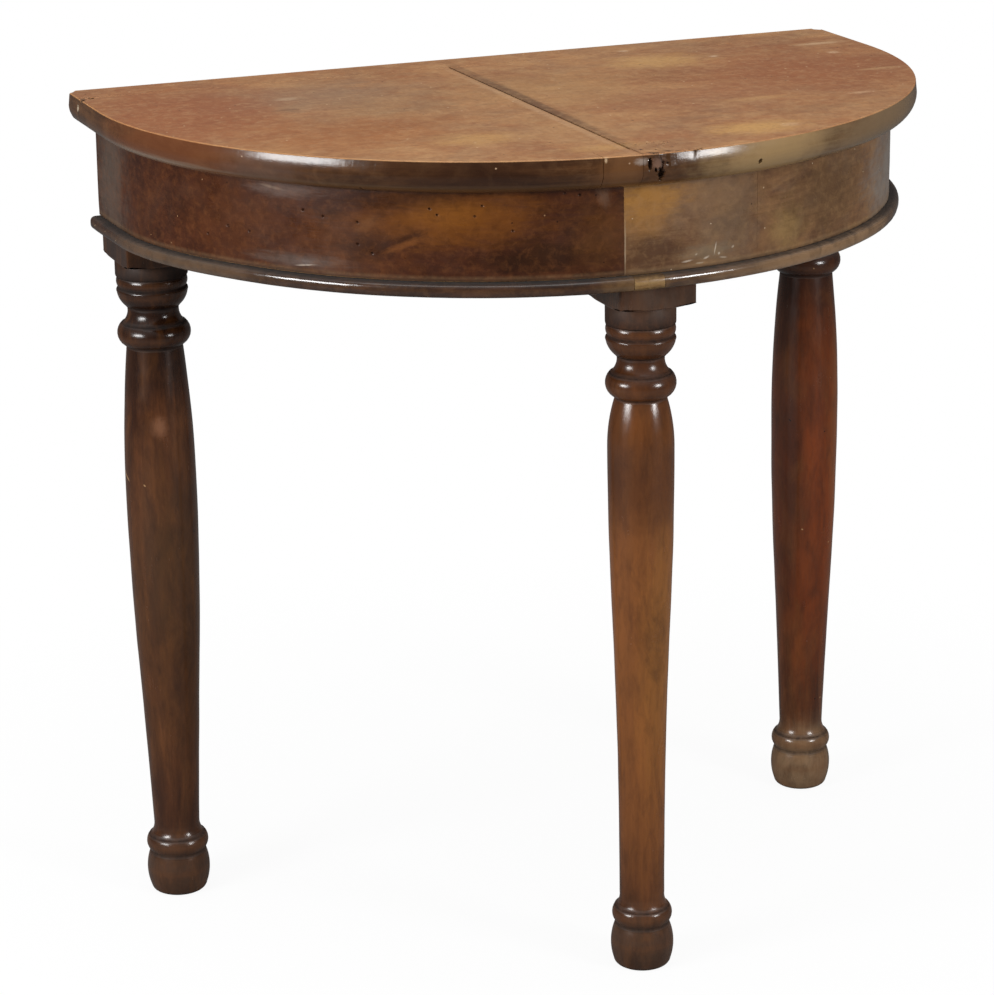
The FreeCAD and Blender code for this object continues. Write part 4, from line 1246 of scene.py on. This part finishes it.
# %% Turned walnut
LEG_ZONES = (
    ("#92582A", (8, -168, 300), (60, 60, 250), 0.85), ("#9C682F", (20, -190, 300), (24, 40, 150), 0.5),
    ("#4E2A14", (8, -168, 470), (60, 60, 50), 0.75), ("#6E3E1A", (8, -168, 525), (60, 60, 24), 0.5),
    ("#452818", (8, -168, 580), (60, 60, 36), 0.6), ("#564438", (8, -168, 645), (70, 70, 30), 0.85),
    ("#4A3A2E", (8, -168, 24), (60, 60, 44), 0.7), ("#4E2E12", (-339, 169, 290), (60, 60, 200), 0.6),
    ("#4A3420", (-335, 140, 330), (40, 40, 90), 0.45), ("#1C0E08", (-339, 169, 590), (70, 70, 110), 0.9),
    ("#2C1C12", (-339, 169, 648), (70, 90, 28), 0.85), ("#3A2012", (-339, 169, 100), (60, 60, 60), 0.6),
    ("#4A3A2E", (-339, 169, 24), (60, 60, 44), 0.6),
    ("#8E6248", (-347, 137, 478), (8, 30, 10), 0.6), ("#883C10", (339, 169, 330), (60, 60, 230), 0.75),
    # 2A1810 darkens the right leg's left side: painted shade.
    ("#2A1810", (312, 160, 400), (15, 40, 260), 0.6), ("#8E5224", (368, 160, 380), (14, 40, 200), 0.6),
    ("#241612", (339, 169, 580), (70, 70, 80), 0.75), ("#967A5C", (339, 169, 26), (60, 60, 50), 0.75),
)
# Wood that was burnished on the lathe has a deep gloss, with small round lights on its rings.
leg_walnut, tree, shader, place = start_finish("walnut_turned_dark_shellac")
colour, streaks = wood_grain(tree, place, ("#3A2014", "#54311C", "#6A3E22"),
                             (30, 30, 120), (3.5, 3.5, 70), 0.14)
for tint, centre, reach, strength in LEG_ZONES:
    colour = zone(tree, place, streaks, colour, tint, centre, reach, strength, ragged=0.6)
upward = add_node(tree, "Mapping", {"Vector": place, "Scale": (1, 1, 0.3)}).outputs[0]
colour = clouds(tree, upward, colour, (("#28150D", 34, 0.6), ("#7E4E26", 22, 0.3), ("#4A3020", 44, 0.3),
                                       ("#2C180E", 8, 0.3)))
folded = add_node(tree, "Mapping", {
    "Vector": place, "Rotation": (math.radians(58), 0, 0.7)}).outputs[0]
colour = spots(tree, folded, colour, "#B08A60", 16, 1.5, 0.12)
colour = spots(tree, folded, colour, "#140B08", 24, 1.6, 0.12)
colour = rub_and_soil(tree, place, colour, "#6E4426", "#120B08", 0.5, 0.9)
sheen(tree, shader, place, colour, streaks, (0.16, 0.28), 0.12)
shader.inputs["Specular IOR Level"].default_value = 0.45
print(leg_walnut.name, len(tree.nodes), "nodes")

# %% [markdown]
# ### What is hidden
# The core, rail, bearer and blocks were never polished: they are plain sawn softwood gone brown with age.
# The screws are plain steel, dulled by a little rust. Their shapes are right as the CAD model has them,
# so they only get these two finishes.

# %% Sawn softwood and old steel
SAW_LINE_MM = 24.0
RUST_MM = 3.0

# Sawn pine without polish is dull all over, with faint lines across it from the saw.
secondary_wood, tree, shader, place = start_finish("pine_sawn_aged")
colour, streaks = wood_grain(tree, place, ("#6A4A30", "#80603C", "#947248"),
                             (170, 60, 26), (110, 3, 3), 0.22)
saw_lines = add_node(tree, "TexWave", {
    "Vector": place, "Scale": 1 / (SAW_LINE_MM * MM), "Distortion": 3.0, "Detail": 3.0}, bands_direction="X")
sawn = add_node(tree, "Math", {0: saw_lines.outputs["Fac"], 1: 0.4, 2: streaks}, operation="MULTIPLY_ADD")
colour = spots(tree, place, colour, "#2A1C10", 40, 2.0, 0.2)
sheen(tree, shader, place, colour, sawn.outputs[0], (0.62, 0.85), 0.4)
shader.inputs["Specular IOR Level"].default_value = 0.25

# Drawn steel gleams grey, broken up by matt brown rust.
screw_steel, tree, shader, place = start_finish("steel_drawn_rusted")
rusty = add_node(tree, "TexNoise", {"Vector": place, "Scale": 1 / (RUST_MM * MM), "Detail": 5})
colour = add_node(tree, "Mix", {0: rusty, 6: paint("#6C6660"), 7: paint("#4A3024")},
                  data_type="RGBA").outputs[2]
sheen(tree, shader, place, colour, rusty.outputs[0], (0.4, 0.65), 0.1)
shader.inputs["Metallic"].default_value = 0.9
print(secondary_wood.name, "and", screw_steel.name)

# %% Put every finish on its pieces
FINISHES = {
    "top_walnut": top_walnut, "dark_veneer": dark_veneer, "light_veneer": light_veneer,
    "bead_walnut": bead_walnut, "light_bead": light_bead, "leg_walnut": leg_walnut,
}
for piece in pieces.values():
    piece.data.materials.append(FINISHES[piece["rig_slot"]])
for name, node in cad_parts.items():
    if name not in pieces:
        finish = screw_steel if name.endswith("screws") else secondary_wood
        for slot in node.material_slots:
            slot.material = finish
print("finished pieces:", len(pieces), "of", len(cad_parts))

# %% [markdown]
# ## Floor and light
# The table stands on a white studio floor. Two soft boxes at the sides give the pairs of highlights on
# the turned rings and the two long ones on the rim, a large one overhead lights the top, and a pale
# surround fills the rest. The white is in the floor's paint and not in more light, so the wood keeps its
# own colours.

# %% Studio floor
FLOOR_RADIUS = 9.0

floor_work = bmesh.new()
bmesh.ops.create_circle(floor_work, cap_ends=True, segments=128, radius=FLOOR_RADIUS)
floor_mesh = bpy.data.meshes.new("studio_floor")
floor_work.to_mesh(floor_mesh)
floor_work.free()
floor = bpy.data.objects.new("studio_floor", floor_mesh)
scene.collection.objects.link(floor)
print("floor", FLOOR_RADIUS, "m")

# %% Floor paint
SHADOW_NEAR = 0.45
SHADOW_FAR = 1.1
WHITE_UNDER_TABLE = 0.93

# Matt paint shows no reflection, only the table's soft shadow, and it is white to the camera further out.
floor_paint, tree, shader, place = start_finish("studio_floor_matt_paint")
shader.inputs["Roughness"].default_value = 0.9
shader.inputs["Specular IOR Level"].default_value = 0.1
seen = add_node(tree, "LightPath")
floor_tone = add_node(tree, "Mix", {
    0: seen.outputs["Is Camera Ray"], 6: paint("#7C7C7C"), 7: paint("#F6F6F6")}, data_type="RGBA")
tree.links.new(floor_tone.outputs[2], shader.inputs["Base Color"])
distance = add_node(tree, "VectorMath", {0: place}, operation="LENGTH")
fade = add_node(tree, "MapRange", {
    "Value": distance.outputs["Value"], "From Min": SHADOW_NEAR, "From Max": SHADOW_FAR,
    "To Min": WHITE_UNDER_TABLE, "To Max": 1.0}, interpolation_type="SMOOTHSTEP")
white_share = add_node(tree, "Math", {0: fade, 1: seen.outputs["Is Camera Ray"]}, operation="MULTIPLY")
white = add_node(tree, "Emission", {"Color": paint("#FFFFFF"), "Strength": 1.0})
mixed = add_node(tree, "MixShader", {0: white_share, 1: shader, 2: white})
output = next(node for node in tree.nodes if node.type == "OUTPUT_MATERIAL")
tree.links.new(mixed.outputs[0], output.inputs["Surface"])
floor_mesh.materials.append(floor_paint)
print("white from", SHADOW_FAR, "m on")

# %% Surround
HORIZON_LIGHT = 0.10
ZENITH_LIGHT = 0.85
REFLECTED_SHARE = 0.08

world = bpy.data.worlds.new("studio_surround")
world.use_nodes = True
scene.world = world
tree = world.node_tree
background = next(node for node in tree.nodes if node.type == "BACKGROUND")
direction = add_node(tree, "TexCoord").outputs["Generated"]
skyward = add_node(tree, "SeparateXYZ", {0: direction}).outputs["Z"]
lifted = add_node(tree, "Math", {0: skyward, 1: 2.0}, operation="POWER")
room = add_node(tree, "MapRange", {"Value": lifted, "To Min": HORIZON_LIGHT, "To Max": ZENITH_LIGHT})
seen = add_node(tree, "LightPath")
mirrored = add_node(tree, "Math", {
    0: seen.outputs["Is Glossy Ray"], 1: seen.outputs["Is Transmission Ray"]}, operation="MAXIMUM")
veil = add_node(tree, "Math", {
    0: mirrored, 1: REFLECTED_SHARE, 2: seen.outputs["Is Camera Ray"]}, operation="MULTIPLY_ADD")
surround = add_node(tree, "Math", {0: room, 1: veil}, operation="MAXIMUM")
tree.links.new(surround.outputs[0], background.inputs["Strength"])
background.inputs["Color"].default_value = paint("#FFFFFF")
print("surround from", HORIZON_LIGHT, "to", ZENITH_LIGHT)


# %% Soft boxes
def soft_box(name, place, aim, size, watts):
    """A rectangular studio lamp that looks from its place to its aim."""
    lamp = bpy.data.lights.new(name, "AREA")
    lamp.shape = "RECTANGLE"
    lamp.size, lamp.size_y = size
    lamp.energy = watts
    box = bpy.data.objects.new(name, lamp)
    box.matrix_world = (Matrix.Translation(place)
                        @ (Vector(aim) - Vector(place)).to_track_quat("-Z", "Y").to_matrix().to_4x4())
    scene.collection.objects.link(box)


soft_box("left_soft_box", (-2.10, -0.55, 1.05), (0, 0, 0.55), (0.86, 0.46), 33)
soft_box("right_soft_box", (1.15, -1.84, 1.05), (0, 0, 0.55), (0.54, 0.48), 24)
soft_box("overhead_soft_box", (-0.2, -0.3, 2.8), (0, 0, 0.78), (2.2, 2.2), 22)
print("soft boxes: 3")
